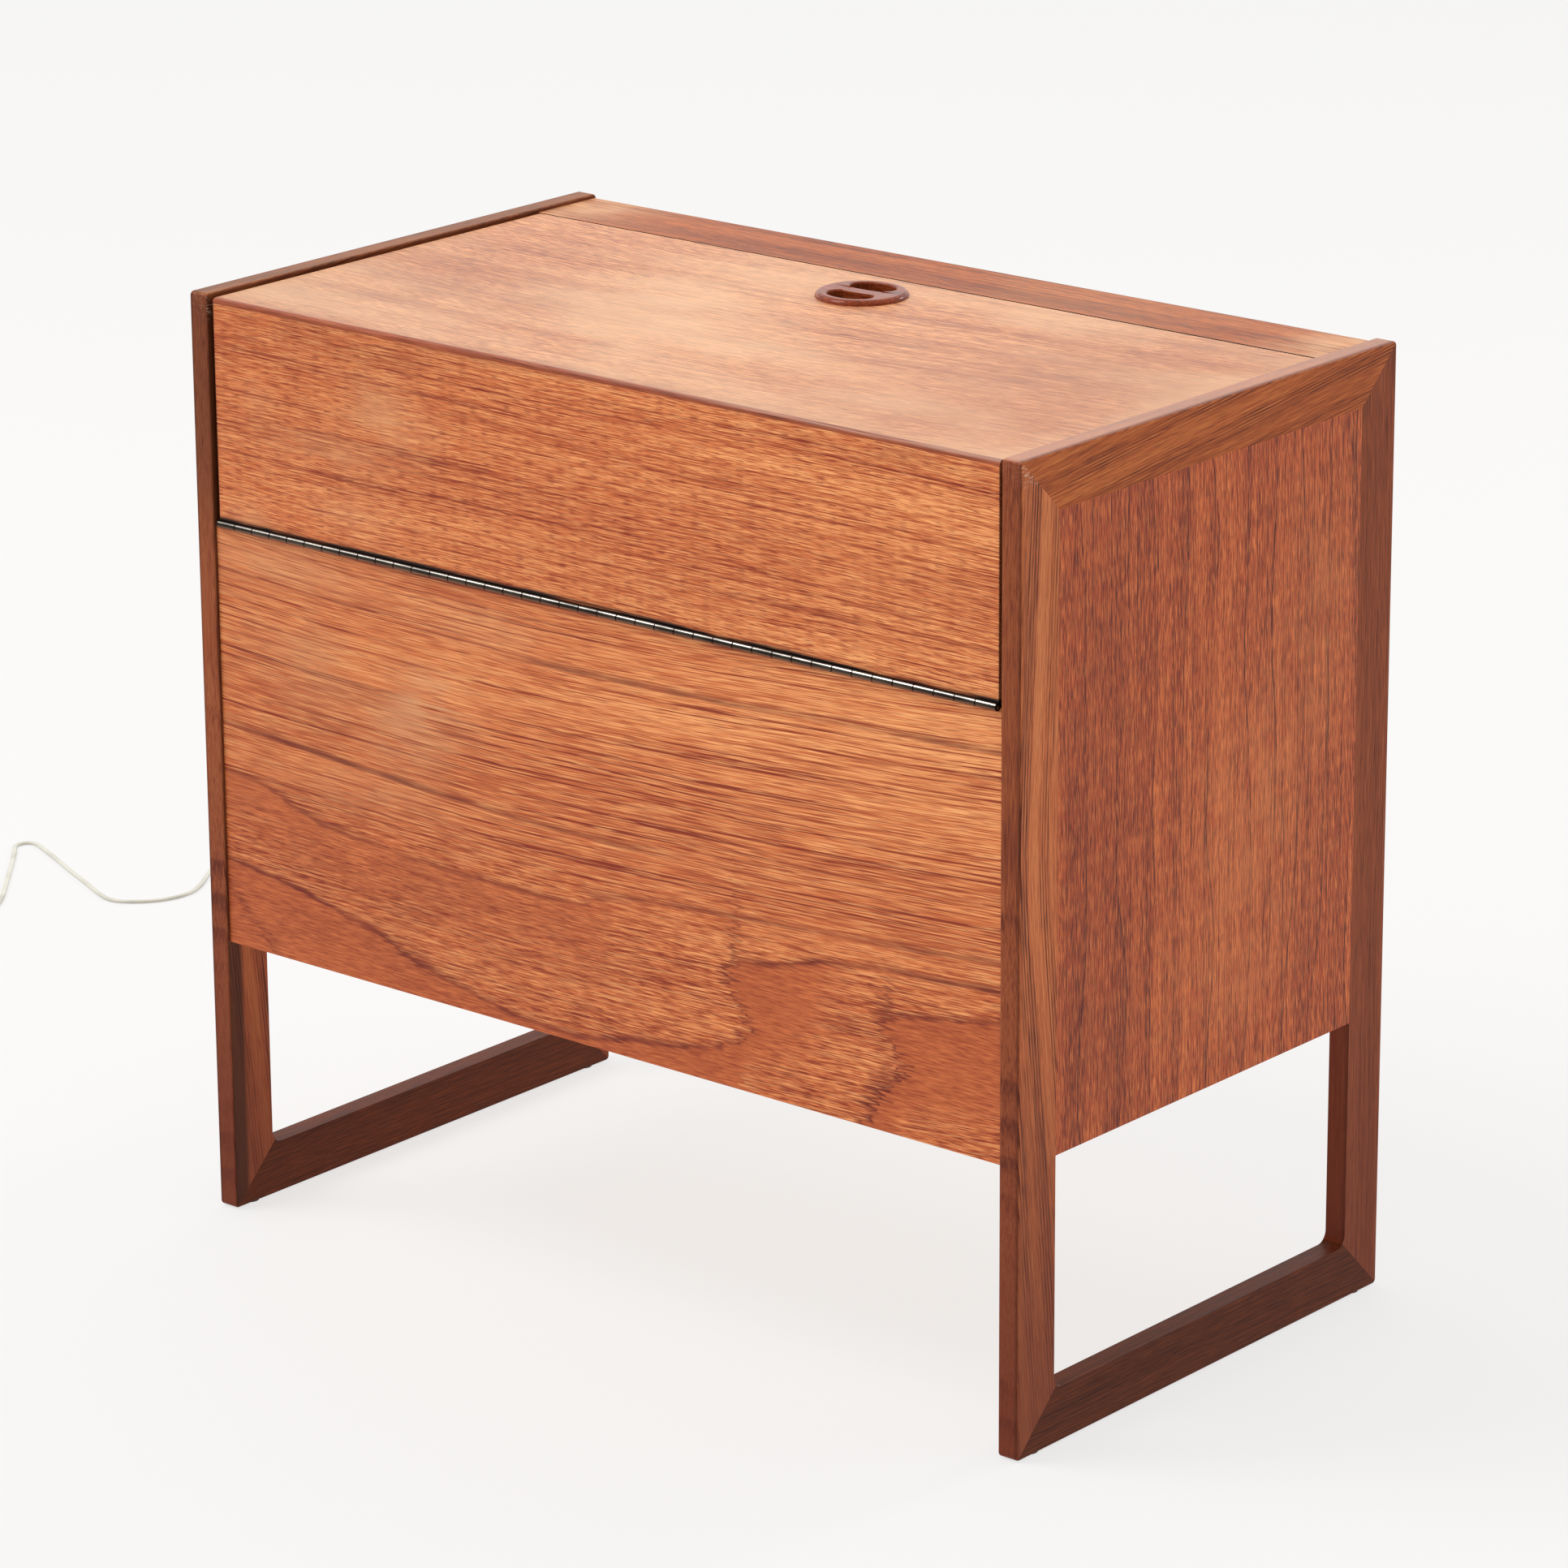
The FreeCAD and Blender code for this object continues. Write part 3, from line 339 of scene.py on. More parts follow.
SIDE_PATCHES = (
    (PAINTED_LIGHT, 0.62, 0.58, 0.16, 0.12, 0.3),
    (PAINTED_LIGHT, 0.8, 0.75, 0.1, 0.12, 0.25),
    (SOIL_AND_SHADE, 0.2, 0.7, 0.1, 0.3, 0.3),
    (SOIL_AND_SHADE, 0.2, 0.4, 0.16, 0.1, 0.25),
    (PAINTED_LIGHT, 0.55, 0.42, 0.2, 0.08, 0.2),
)
STRIP_PATCHES = ((BLEACH_AND_SHEEN, 0.03, 0.94, 0.06, 0.2, 0.7), (BLEACH_AND_SHEEN, 0.98, 0.92, 0.05, 0.2, 0.7))

# Cells of the patches and the painted sheen, how far they cover, and the painted shade at the ends and
# front edge of faces
PATCH_CELL = (0.05, 0.03, 0.03)
PATCH_COVER = (0.6, 1.25)
SHEEN_CELL = (0.24, 0.11, 0.11)
SHEEN_COVER = (0.38, 0.66)
# Painted shade of the gaps: at the lid front's ends, and along the strip's front edge
LID_END_X = 0.3826
END_FADE = 0.0006
END_DARK = 0.5
STRIP_EDGE_Z = (0.744, 0.745)

# Growth rings: the cells of their waves and faint stretches, and the parts of a ring, from 0 to 1
RING_START = 50.0
RING_WAVE = 0.4
RING_WAVE_CELL = (0.12, 0.12, 0.3)
RIBBON_WAVE = 1.2
RIBBON_CELL = (0.03, 0.03, 0.25)
RIBBON_COVER = (0.3, 0.62)
RIBBON_RAGGED = 0.04
RIBBON_LINE = (0.94, 0.96)
RIBBON_DARKENS = (0.2, 0.95)
RIBBON_ENDS = (0.98, 1.0)
RIBBON_LIFT = 0.4
BUNCH_STARTS = (0.3, 0.6)
BUNCH_LINE = (0.2, 0.8)
BUNCH_ENDS = (0.85, 1.0)
BUNCH_BETWEEN = 0.2
BUNCH_LIFT = 0.2

# Frame members: soiled edges, dark upper ends, painted shade in inner corners and on arrises, and a
# rubbed top corner
MEMBER_SOIL = 0.62
CROWN_Z = (0.5, 0.64)
CROWN_DARK = 0.23
CROWN_RIGHTWARD = -0.17
CORNER_Y = (-0.212, -0.206)
CORNER_DARK = 0.75
ARRIS_X = (0.4015, 0.404)
ARRIS_DARK = 0.35
RUB_CELL = (0.003, 0.006, 0.0012)
RUB_COVER = (0.52, 0.66)
RUB_Z = (0.725, 0.74)
RUB_Y = (-0.21, -0.19)
RUB_SIDE = 0.32
RUB_FRONT = 0.04

# Top rails: a painted sheen, pale on the right and dull on the left, with painted shade on the arrises
# and inner faces
RAIL_MIDDLE_X = (-0.01, 0.01)
RAIL_SHEEN_PALE = 0.45
RAIL_SHEEN_DULL = 0.5
RAIL_ARRIS_X = (0.4, 0.404)
RAIL_ARRIS_SHADE = 0.6
RAIL_INNER_DARK = 0.6

# The lipping's arris: a painted highlight, streaked like wear, towards its right end
LIPPING_X = (-0.1, 0.3)
LIPPING_STREAK = (0.35, 0.6)
LIPPING_Z = (0.744, 0.7475)
LIPPING_HIGHLIGHT = 0.3

# Plastic's dirt and grain, and smudges on glass
DIRT_CELL = (0.03, 0.03, 0.03)
DIRT_COVER = (0.4, 0.75)
DIRT_DARKER = 0.45
DIRT_ROUGHER = 0.2
MOULD_CELL = (0.0005, 0.0005, 0.0005)
SMUDGE_CELL = (0.05, 0.05, 0.05)
SMUDGE_COVER = (0.5, 0.8)
GLASS_IOR = 1.5
GLASS_ROUGHNESS = 0.02

# Metal's stains and drawn lines
STAIN_CELL = (0.03, 0.006, 0.006)
STAIN_COVER = (0.35, 0.7)
STAIN_ROUGHER = 0.18
DRAWN_CELL = (0.03, 0.0004, 0.0004)
DRAWN_ROUGHNESS = 0.08
DRAWN_DEPTH = 0.00002

# Hinge: its knuckles and the painted shade in their gaps, which way the painted highlight on its crest
# faces, and shares clean and stained
KNUCKLE_PITCH = 0.767 / 41
KNUCKLE_GAP = (0.012, 0.05)
CREST_FRONT = 0.72
CREST_UP = 0.69
CREST_FACING = (0.965, 0.997)
HIGHLIGHT_CLEAN = 0.5
HIGHLIGHT_STAINED = 0.2
UNDER_FACING = (-0.5, 0.1)
UNDER_REFLECTION = 0.45
LEAF_Y = (-0.2185, -0.2175)
LEAF_CLEAN = 0.8
LEAF_STAINED = 0.45

# Studio: a glowing pale floor and a sky that is brighter behind
FLOOR_SIZE = 60.0
FLOOR_COLOUR = (0.19, 0.187, 0.183)
FLOOR_ROUGHNESS = 0.6
FLOOR_GLOW_COLOUR = (1.0, 0.995, 0.99)
FLOOR_GLOW = 0.715
SKY_COLOUR = (1.0, 1.0, 1.0)
SKY_BRIGHT_TOWARDS = (-0.68, 0.68, 0.25)
SKY_LEAST = 0.4
SKY_MOST = 1.3

# Lamps: name, place, size and power
LAMPS = (
    ("softbox", Vector((-2.8, -2.5, 5.2)), 3.0, 165.0),
    ("window", Vector((1.2, 4.2, 2.6)), 0.9, 30.0),
)
LAMP_AIM = Vector((0.0, 0.0, 0.4))


def placed(name, data):
    """A new object in the scene."""
    made = bpy.data.objects.new(name, data)
    bpy.context.scene.collection.objects.link(made)
    return made


def make_camera():
    right = Vector((math.cos(CAMERA_AZIMUTH), math.sin(CAMERA_AZIMUTH), 0))
    level = math.cos(CAMERA_ELEVATION)
    back = Vector((right.y * level, -right.x * level, math.sin(CAMERA_ELEVATION)))
    up = back.cross(right)
    across = right * math.cos(CAMERA_ROLL) + up * math.sin(CAMERA_ROLL)
    upright = up * math.cos(CAMERA_ROLL) - right * math.sin(CAMERA_ROLL)
    data = bpy.data.cameras.new("camera")
    data.sensor_width = SENSOR_MM
    data.lens = SENSOR_MM * FOCAL_PIXELS / PHOTO_PIXELS
    data.clip_end = FAR_CLIP
    camera = placed("camera", data)
    turn = Matrix((across, upright, back)).transposed().to_4x4()
    camera.matrix_world = Matrix.Translation(CAMERA_AT) @ turn
    bpy.context.scene.camera = camera


def coil_points(start):
    """Half turns that spiral in on the floor, climb a layer, and spiral out on top, to the plug."""
    points = []
    here = Vector(start)
    heading = Vector((-1, 0, 0))
    up = Vector((0, 0, 1))
    radius = COIL_R

    def half_turn(rise):
        nonlocal here, heading
        aside = heading.cross(up)
        centre = here + aside * radius
        outside = radius / math.cos(math.pi / COIL_POINTS / 2)
        for i in range(COIL_POINTS):
            angle = math.pi * (i + 0.5) / COIL_POINTS
            spot = centre - aside * outside * math.cos(angle) + heading * outside * math.sin(angle)
            points.append(spot + up * rise * (i + 0.5) / COIL_POINTS)
        here = centre + aside * radius + up * rise
        heading = -heading

    for _ in range(COIL_HALF_TURNS_IN):
        half_turn(0)
        radius -= COIL_STEP / 2
    half_turn(COIL_LAYER)
    for _ in range(COIL_HALF_TURNS_OUT):
        radius += COIL_STEP / 2
        half_turn(0)
    climb = PLUG_AXIS_Z - here.z
    for share, lift in COIL_TAIL_CLIMB:
        points.append(here + heading * COIL_TAIL * share + up * climb * lift)
    return points


def route_line(points):
    """Points along the smooth line that has the route's points as its control points."""
    curve = bpy.data.curves.new("route", "CURVE")
    curve.dimensions = "3D"
    curve.resolution_u = FLEX_ROUTE_STEPS
    spline = curve.splines.new("NURBS")
    spline.points.add(len(points) - 1)
    for target, point in zip(spline.points, points):
        target.co = (*(Vector(point) * MM), 1)
    spline.order_u = 3
    spline.use_endpoint_u = True
    holder = placed("route", curve)
    bpy.context.view_layer.update()
    mesh = bpy.data.meshes.new_from_object(holder)
    line = [v.co.copy() for v in mesh.vertices]
    bpy.data.objects.remove(holder)
    bpy.data.curves.remove(curve)
    bpy.data.meshes.remove(mesh)
    return line


def flex_section():
    """The outline of two lobes side by side, as (aside, up) in metres."""
    apart = FLEX_WIDE / 2 - FLEX_LOBE
    half_groove = math.acos(apart / FLEX_LOBE)
    outline = []
    for side in (1, -1):
        for i in range(FLEX_LOBE_STEPS + 1):
            angle = (math.pi - half_groove) * (2 * i / FLEX_LOBE_STEPS - 1)
            aside = side * (apart + FLEX_LOBE * math.cos(angle))
            outline.append((aside, side * FLEX_LOBE * math.sin(angle)))
    return [(a * MM, b * MM) for a, b in outline]


def skin(bm, rings):
    """Faces from each ring of points to the next."""
    for ring, following in zip(rings, rings[1:]):
        for j in range(len(ring)):
            k = (j + 1) % len(ring)
            bm.faces.new((ring[j], ring[k], following[k], following[j]))


def finished(bm, name):
    """The built faces as a mesh, turned to face outward."""
    bmesh.ops.recalc_face_normals(bm, faces=bm.faces)
    mesh = bpy.data.meshes.new(name)
    bm.to_mesh(mesh)
    bm.free()
    return mesh


def new_piece(name, mesh, body, material):
    piece = placed(name, mesh)
    mesh.materials.append(material)
    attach(piece, body)
    return piece


def flex_mesh(line, hanging):
    """The flat flex along a line: it leaves level, twists as it hangs and lies flat on the floor."""
    section = flex_section()
    up = Vector((0, 0, 1))
    bm = bmesh.new()
    rings = []
    for i, point in enumerate(line):
        tangent = (line[min(i + 1, len(line) - 1)] - line[max(i - 1, 0)]).normalized()
        share = min(i / hanging, 1)
        lying = up.cross(tangent)
        aside = Vector((1, 0, 0)) * (1 - share) + lying * share
        aside = (aside - tangent * aside.dot(tangent)).normalized()
        over = tangent.cross(aside)
        rings.append([bm.verts.new(point + aside * a + over * b) for a, b in section])
    skin(bm, rings)
    for face in bm.faces:
        face.smooth = True
    bm.faces.new(rings[0][::-1])
    bm.faces.new(rings[-1])
    return finished(bm, "flex")


def make_flex(material):
    lying = [(x, y, FLEX_Z) for x, y in FLEX_LYING]
    points = FLEX_HANGING + lying + coil_points(lying[-1])
    line = route_line(points)
    hanging = len(line) * len(FLEX_HANGING) // len(points)
    flex = new_piece("flex", flex_mesh(line, hanging), "cabinet", material)
    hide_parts("cord", "cord_coil")


def screw_heads(name, body, material, face, outward):
    """A row of slotted countersunk screws in a hinge leaf, each head two halves beside its slot."""
    bm = bmesh.new()
    half_slot = math.asin(SCREW_SLOT / 2 / SCREW_R)
    sweep = math.pi - 2 * half_slot
    angles = [half_slot + sweep * j / SCREW_STEPS for j in range(SCREW_STEPS + 1)]
    outline = [Vector((math.cos(a), math.sin(a), 0)) * SCREW_R for a in angles]
    inward = Vector((0, SCREW_HALF_MIDDLE, 0))
    for i in range(SCREWS):
        middle = Vector(((i - (SCREWS - 1) / 2) * SCREW_PITCH, SCREW_Y, face))
        for half in (0, math.pi):
            spin = Matrix.Rotation(i * SCREW_TURN + half, 3, "Z")
            rings = []
            for level, drawn_in in SCREW_RINGS:
                lift = Vector((0, 0, level * outward))
                ring = [middle + spin @ point.lerp(inward, drawn_in) + lift for point in outline]
                rings.append([bm.verts.new(point) for point in ring])
            skin(bm, rings)
            bm.faces.new(rings[0])
            bm.faces.new(rings[-1])
    new_piece(name, finished(bm, name), body, material)


def rounded_loop(low, high, radius):
    """Points round a rectangle with rounded corners, as (y, z)."""
    points = []
    for corner in range(4):
        y = (high[0] - radius) if corner in (0, 3) else (low[0] + radius)
        z = (high[1] - radius) if corner in (0, 1) else (low[1] + radius)
        for j in range(TIE_CORNER_STEPS + 1):
            angle = (corner + j / TIE_CORNER_STEPS) * math.pi / 2
            points.append((y + radius * math.cos(angle), z + radius * math.sin(angle)))
    return points


def make_tie(material):
    """A twist tie round the coil's strands: a flat band and its two ends twisted together."""
    bm = bmesh.new()
    inside = rounded_loop(*TIE_INSIDE)
    outside = rounded_loop(*TIE_OUTSIDE)
    rings = []
    for points, side in ((inside, -1), (inside, 1), (outside, 1), (outside, -1)):
        x = COIL_X + side * TIE_WIDE / 2
        rings.append([bm.verts.new(Vector((x, y, z)) * MM) for y, z in points])
    skin(bm, rings + rings[:1])
    start = Vector((COIL_X, TIE_OUTSIDE[1][0] - TIE_TWIST_ROOT, TIE_TWIST_Z))
    twisted = []
    for i in range(TIE_STEPS + 1):
        share = i / TIE_STEPS
        angle = share * TIE_TURNS * 2 * math.pi
        wide = Vector((math.cos(angle), 0, math.sin(angle))) * TIE_WIDE * TIE_TWIST_WIDE
        thick = Vector((-math.sin(angle), 0, math.cos(angle))) * TIE_THICK
        middle = start + Vector((0, TIE_END * share, 0))
        corners = [
            middle + wide + thick,
            middle - wide + thick,
            middle - wide - thick,
            middle + wide - thick,
        ]
        twisted.append([bm.verts.new(corner * MM) for corner in corners])
    skin(bm, twisted)
    bm.faces.new(twisted[0])
    bm.faces.new(twisted[-1])
    tie = new_piece("coil_tie", finished(bm, "coil_tie"), "cabinet", material)
    return tie


class Paint:
    """The node tree of a material or world, with short calls that return sockets."""

    def __init__(self, owner, shader="Principled BSDF"):
        owner.use_nodes = True
        self.owner = owner
        self.tree = owner.node_tree
        self.shader = self.tree.nodes[shader]

    def node(self, kind, **settings):
        made = self.tree.nodes.new(kind)
        for key, value in settings.items():
            setattr(made, key, value)
        return made

    def feed(self, socket, value):
        if isinstance(value, bpy.types.NodeSocket):
            self.tree.links.new(value, socket)
        elif isinstance(value, tuple):
            socket.default_value = (*value, 1)
        else:
            socket.default_value = value

    def set(self, **values):
        """Sets or links the shader's inputs, which are named with _ for each space."""
        for key, value in values.items():
            self.feed(self.shader.inputs[key.replace("_", " ")], value)

    def math(self, operation, *values):
        made = self.node("ShaderNodeMath", operation=operation)
        for socket, value in zip(made.inputs, values):
            self.feed(socket, value)
        return made.outputs[0]

    def add(self, first, *others):
        for other in others:
            first = self.math("ADD", first, other)
        return first

    def sub(self, first, second):
        return self.math("SUBTRACT", first, second)

    def mul(self, first, *others):
        for other in others:
            first = self.math("MULTIPLY", first, other)
        return first

    def linear(self, value, slope, start):
        return self.math("MULTIPLY_ADD", value, slope, start)

    def sway(self, noise, reach):
        """A noise turned into a value from -reach to reach."""
        return self.linear(noise, 2 * reach, -reach)

    def split(self, vector):
        parts = self.node("ShaderNodeSeparateXYZ")
        self.feed(parts.inputs[0], vector)
        return dict(zip("xyz", parts.outputs))

    def place(self):
        """The point's x, y and z in the CAD frame, which stay with the piece as it moves."""
        return self.split(self.node("ShaderNodeTexCoord").outputs["Object"])

    def facing(self):
        """The surface's normal in the CAD frame, as x, y and z."""
        return self.split(self.node("ShaderNodeTexCoord").outputs["Normal"])

    def noise(self, point, cell, detail=2.0, seed=0.0):
        """Smooth random values from 0 to 1, in cells of a size per axis in metres."""
        where = self.node("ShaderNodeCombineXYZ")
        for socket, value, size in zip(where.inputs, point, cell):
            self.feed(socket, self.linear(value, 1 / size, seed))
        made = self.node("ShaderNodeTexNoise")
        self.feed(made.inputs["Vector"], where.outputs[0])
        self.feed(made.inputs["Scale"], 1.0)
        self.feed(made.inputs["Detail"], detail)
        return made.outputs["Fac"]

    def rise(self, value, low, high):
        """0 at low, 1 at high, and a smooth rise between them."""
        made = self.node("ShaderNodeMapRange", interpolation_type="SMOOTHSTEP")
        self.feed(made.inputs["Value"], value)
        self.feed(made.inputs["From Min"], low)
        self.feed(made.inputs["From Max"], high)
        return made.outputs["Result"]

    def fall(self, value, low, high):
        """1 at low, 0 at high, and a smooth fall between them."""
        return self.sub(1.0, self.rise(value, low, high))

    def line(self, value, points):
        """A smooth curve through (in, out) points, both between 0 and 1."""
        made = self.node("ShaderNodeFloatCurve")
        curve = made.mapping.curves[0]
        for _ in points[2:]:
            curve.points.new(0.5, 0.5)
        for target, point in zip(curve.points, points):
            target.location = point
            target.handle_type = "AUTO_CLAMPED"
        made.mapping.update()
        self.feed(made.inputs["Value"], value)
        return made.outputs[0]

    def spot(self, u, v, patch):
        """A soft patch, 1 at its middle, given as middle u and v and reach u and v."""
        middle_u, middle_v, reach_u, reach_v = patch
        du = self.linear(u, 1 / reach_u, -middle_u / reach_u)
        dv = self.linear(v, 1 / reach_v, -middle_v / reach_v)
        far = self.add(self.mul(du, du), self.mul(dv, dv))
        return self.math("EXPONENT", self.mul(far, -1.0))

    def mix(self, share, first, second):
        """A share of a second colour over a first. The node's sockets 6, 7 and 2 are its colours."""
        made = self.node("ShaderNodeMix", data_type="RGBA")
        self.feed(made.inputs[0], share)
        self.feed(made.inputs[6], first)
        self.feed(made.inputs[7], second)
        return made.outputs[2]

    def ramp(self, value, stops):
        made = self.node("ShaderNodeValToRGB")
        elements = made.color_ramp.elements
        for _ in stops[2:]:
            elements.new(0.5)
        for element, (at, colour) in zip(elements, stops):
            element.position = at
            element.color = (*colour, 1)
        self.feed(made.inputs["Fac"], value)
        return made.outputs["Color"]

    def bump(self, height, depth):
        made = self.node("ShaderNodeBump")
        self.feed(made.inputs["Height"], height)
        self.feed(made.inputs["Distance"], depth)
        self.set(Normal=made.outputs["Normal"])


def teak(
    name, grain_axes, shades, grain,
    roughness=0.42, lean=None, figure=None, wear_and_light=None, gloss=0.2, coat=0.0, pore_depth=PORE_DEPTH,
):
    """Teak with its grain along the first of two axes and its lines spaced across the second.

    A lean bends the grain, a figure gives it growth rings, and a last layer wears and soils it and
    paints light, sheen and shade on it.
    """
    paint = Paint(bpy.data.materials.new(name))
    place = paint.place()
    along, across = grain_axes
    deep = next(axis for axis in "xyz" if axis not in grain_axes)
    point = [place[along], place[across], place[deep]]
    wander = paint.sway(paint.noise(point, WANDER_CELL, detail=1.0), WANDER)
    if lean:
        wander = paint.add(wander, lean(paint, place))
    point[1] = paint.add(place[across], wander)

    def fibre(part, shorter=1.0):
        long, wide, detail, seed = part
        wide *= grain.fine
        return paint.noise(point, (long * shorter, wide, wide), detail, seed)

    def sparse(noise, strength):
        return paint.mul(paint.rise(noise, *SPARSE), strength)

    dash = fibre(DASH, grain.short)
    streak = fibre(STREAK)
    late = paint.add(fibre(LATE), paint.sway(dash, LATE_RAGGED))
    band = fibre(BAND)
    pore = fibre(PORE, grain.short)
    fleck = fibre(FLECK, grain.short)
    parts = ((dash, grain.dash), (streak, grain.streak), (band, grain.band))
    tone = paint.add(*[paint.sway(part, strength) for part, strength in parts])
    tone = paint.sub(tone, sparse(late, grain.late))
    value, lively, mark = (figure or even)(paint, place, dash, tone)
    dark, _, light = shades
    colour = paint.ramp(value, list(zip(SHADES_AT, shades)))
    colour = paint.mix(paint.mul(sparse(fleck, grain.fleck), lively), colour, light)
    kept = paint.linear(lively, 1 - PORES_KEPT, PORES_KEPT)
    colour = paint.mix(paint.mul(sparse(pore, grain.pore), kept), colour, dark)
    if mark:
        colour = paint.mix(mark, colour, GROWTH_DARK)
    if wear_and_light:
        colour = wear_and_light(paint, place, streak, colour)
    paint.set(Base_Color=colour, Roughness=paint.add(paint.sway(dash, ROUGHNESS_SWAY), roughness))
    paint.set(Specular_IOR_Level=gloss, Coat_Weight=coat, Coat_Roughness=COAT_ROUGHNESS)
    paint.bump(dash, pore_depth)
    return paint.owner


def face_shares(paint, place, face):
    """How far a point is across and up a face, from 0 to 1."""
    (across, u0, u1), (upward, v0, v1) = face
    u = paint.linear(place[across], 1 / (u1 - u0), -u0 / (u1 - u0))
    v = paint.linear(place[upward], 1 / (v1 - v0), -v0 / (v1 - v0))
    return u, v


def patched(paint, place, streak, colour, face, patches, end_x=None, sheen=0.0, dark_edge=False):
    """Soft patches on a face, and perhaps a painted sheen, and painted shade at the ends or along the
    front edge.
    """
    u, v = face_shares(paint, place, face)
    point = list(place.values())
    uneven = paint.add(paint.noise(point, PATCH_CELL, seed=17.0), streak)
    uneven = paint.rise(uneven, *PATCH_COVER)
    # A painted sheen in soft clouds
    if sheen:
        sheen_cloud = paint.noise(point, SHEEN_CELL, seed=29.0)
        colour = paint.mix(paint.mul(paint.rise(sheen_cloud, *SHEEN_COVER), sheen), colour, BLEACH_AND_SHEEN)
    for shade, *patch, strength in patches:
        share = paint.mul(paint.spot(u, v, patch), uneven, strength)
        colour = paint.mix(share, colour, shade)
    # Painted shade in the gaps at the ends of the lid front
    if end_x:
        far = paint.rise(paint.math("ABSOLUTE", place["x"]), end_x, end_x + END_FADE)
        colour = paint.mix(paint.mul(far, END_DARK), colour, GAP_DARK)
    # Painted shade in the gap along the strip's front edge
    if dark_edge:
        forward = paint.rise(paint.mul(paint.facing()["y"], -1.0), *FACING)
        upper = paint.rise(place["z"], *STRIP_EDGE_Z)
        colour = paint.mix(paint.mul(forward, upper), colour, GAP_DARK)
    return colour


def bowed(paint, place, along, middle, depth):
    """A lean of grain that sags in a shallow bow along an axis, lowest at a middle."""
    far = paint.sub(place[along], middle)
    return paint.mul(far, far, -depth)


def kinked(paint, place, along, middle, before, after, soft):
    """A lean of grain that turns from one slope to another round a middle."""
    far = paint.sub(place[along], middle)
    turn = paint.math("SQRT", paint.add(paint.mul(far, far), soft * soft))
    return paint.add(paint.mul(far, -(before + after) / 2), paint.mul(turn, -(after - before) / 2))


def sloped(paint, place, along, slope, sideways=0.0):
    """A lean of grain that runs off its axis by a slope, and off sideways by another."""
    return paint.add(paint.mul(place[along], slope), paint.mul(place["x"], sideways))


def even(paint, place, dash, tone):
    """No figure. Like each figure it gives the grain's tone, how lively it is and its dark lines."""
    return paint.add(tone, MIDDLE_TONE), 1.0, 0.0


def flame(paint, place, dash, tone):
    """The lower front's cathedral figure: dark growth lines with plainer, darker wood below them."""
    u, v = face_shares(paint, place, LOWER_FACE)
    point = [place["x"], place["z"], place["y"]]
    teeth = paint.noise(point, FLAME_TEETH, detail=1.0, seed=301.0)
    jag = paint.add(u, paint.sway(teeth, FLAME_JAG))
    for height, near_by, push in FLAME_TIPS:
        near = paint.linear(v, 1 / near_by, -height / near_by)
        jag = paint.sub(jag, paint.mul(paint.math("EXPONENT", paint.mul(near, near, -1.0)), push))
    level = paint.add(v, paint.sway(dash, FLAME_RAGGED))
    faint = paint.rise(paint.noise(point, FLAME_FAINT, seed=501.0), *FLAME_FAINT_COVER)
    faint = paint.linear(faint, 1 - FLAME_FAINTEST, FLAME_FAINTEST)
    plain = 0.0
    mark = 0.0
    for points, dark, start, end, plain_dark, fade, reach in FLAME_LINES:
        raised = [(a, (b - FLAME_LOW) / (1 - FLAME_LOW)) for a, b in points]
        height, before = [
            paint.linear(paint.line(at, raised), 1 - FLAME_LOW, FLAME_LOW)
            for at in (jag, paint.sub(jag, FLAME_STEP))
        ]
        steep = paint.mul(paint.sub(height, before), FLAME_ASPECT / FLAME_STEP)
        slant = paint.math("SQRT", paint.add(paint.mul(steep, steep), 1.0))
        below = paint.math("DIVIDE", paint.sub(height, level), slant)
        smear = paint.sub(FLAME_SMEAR, paint.math("DIVIDE", FLAME_SMEAR - 1, slant))
        above = paint.rise(paint.math("DIVIDE", below, smear), *FLAME_ABOVE)
        started = paint.rise(u, start, start + FLAME_START)
        shown = paint.mul(started, paint.fall(u, end - FLAME_END, end), dark)
        line = paint.mul(above, above, paint.fall(below, *FLAME_BELOW), shown)
        mark = paint.math("MAXIMUM", mark, line)
        if plain_dark:
            inside = paint.rise(below, *PLAIN_BELOW)
            fading = paint.fall(below, 0.0, fade)
            across = paint.fall(u, reach - PLAIN_ENDS, reach)
            plain = paint.add(plain, paint.mul(inside, fading, across, plain_dark))
    calm = paint.fall(plain, *CALM)
    lively = paint.mul(paint.rise(u, *LIVELY_ACROSS), paint.rise(v, *LIVELY_UP))
    lively = paint.linear(lively, LIVELY_MORE, LIVELY_LEAST)
    upper = paint.rise(v, *LONG_GRAIN_UP)
    longer = paint.linear(upper, 1 - LONG_GRAIN_LEAST, LONG_GRAIN_LEAST)
    long_grain = paint.mul(tone, calm, lively, longer)
    short = paint.noise(point, SHORT_GRAIN_CELL, detail=1.0, seed=401.0)
    shorter = paint.linear(calm, 1 - SHORT_GRAIN_CALM, SHORT_GRAIN_CALM)
    short_grain = paint.mul(paint.sway(short, SHORT_GRAIN), paint.sub(1.0, upper), shorter)
    light = paint.linear(paint.rise(v, *LIGHT_UP), LIGHT_MORE, LIGHT_LEAST)
    pale = paint.mul(paint.rise(u, *PALE_ACROSS), paint.rise(v, *PALE_UP), PALE_MORE)
    light = paint.add(light, pale)
    value = paint.add(paint.sub(long_grain, plain), short_grain, light)
    return value, calm, paint.mul(mark, faint)


def livelier(paint, place, dash, tone, face, start, end, more, lighter):
    """A figure of grain that grows stronger and lighter across a face."""
    share = paint.rise(face_shares(paint, place, face)[0], start, end)
    strong = paint.mul(tone, paint.linear(share, more, 1.0))
    return paint.add(strong, paint.linear(share, lighter, MIDDLE_TONE)), 1.0, 0.0


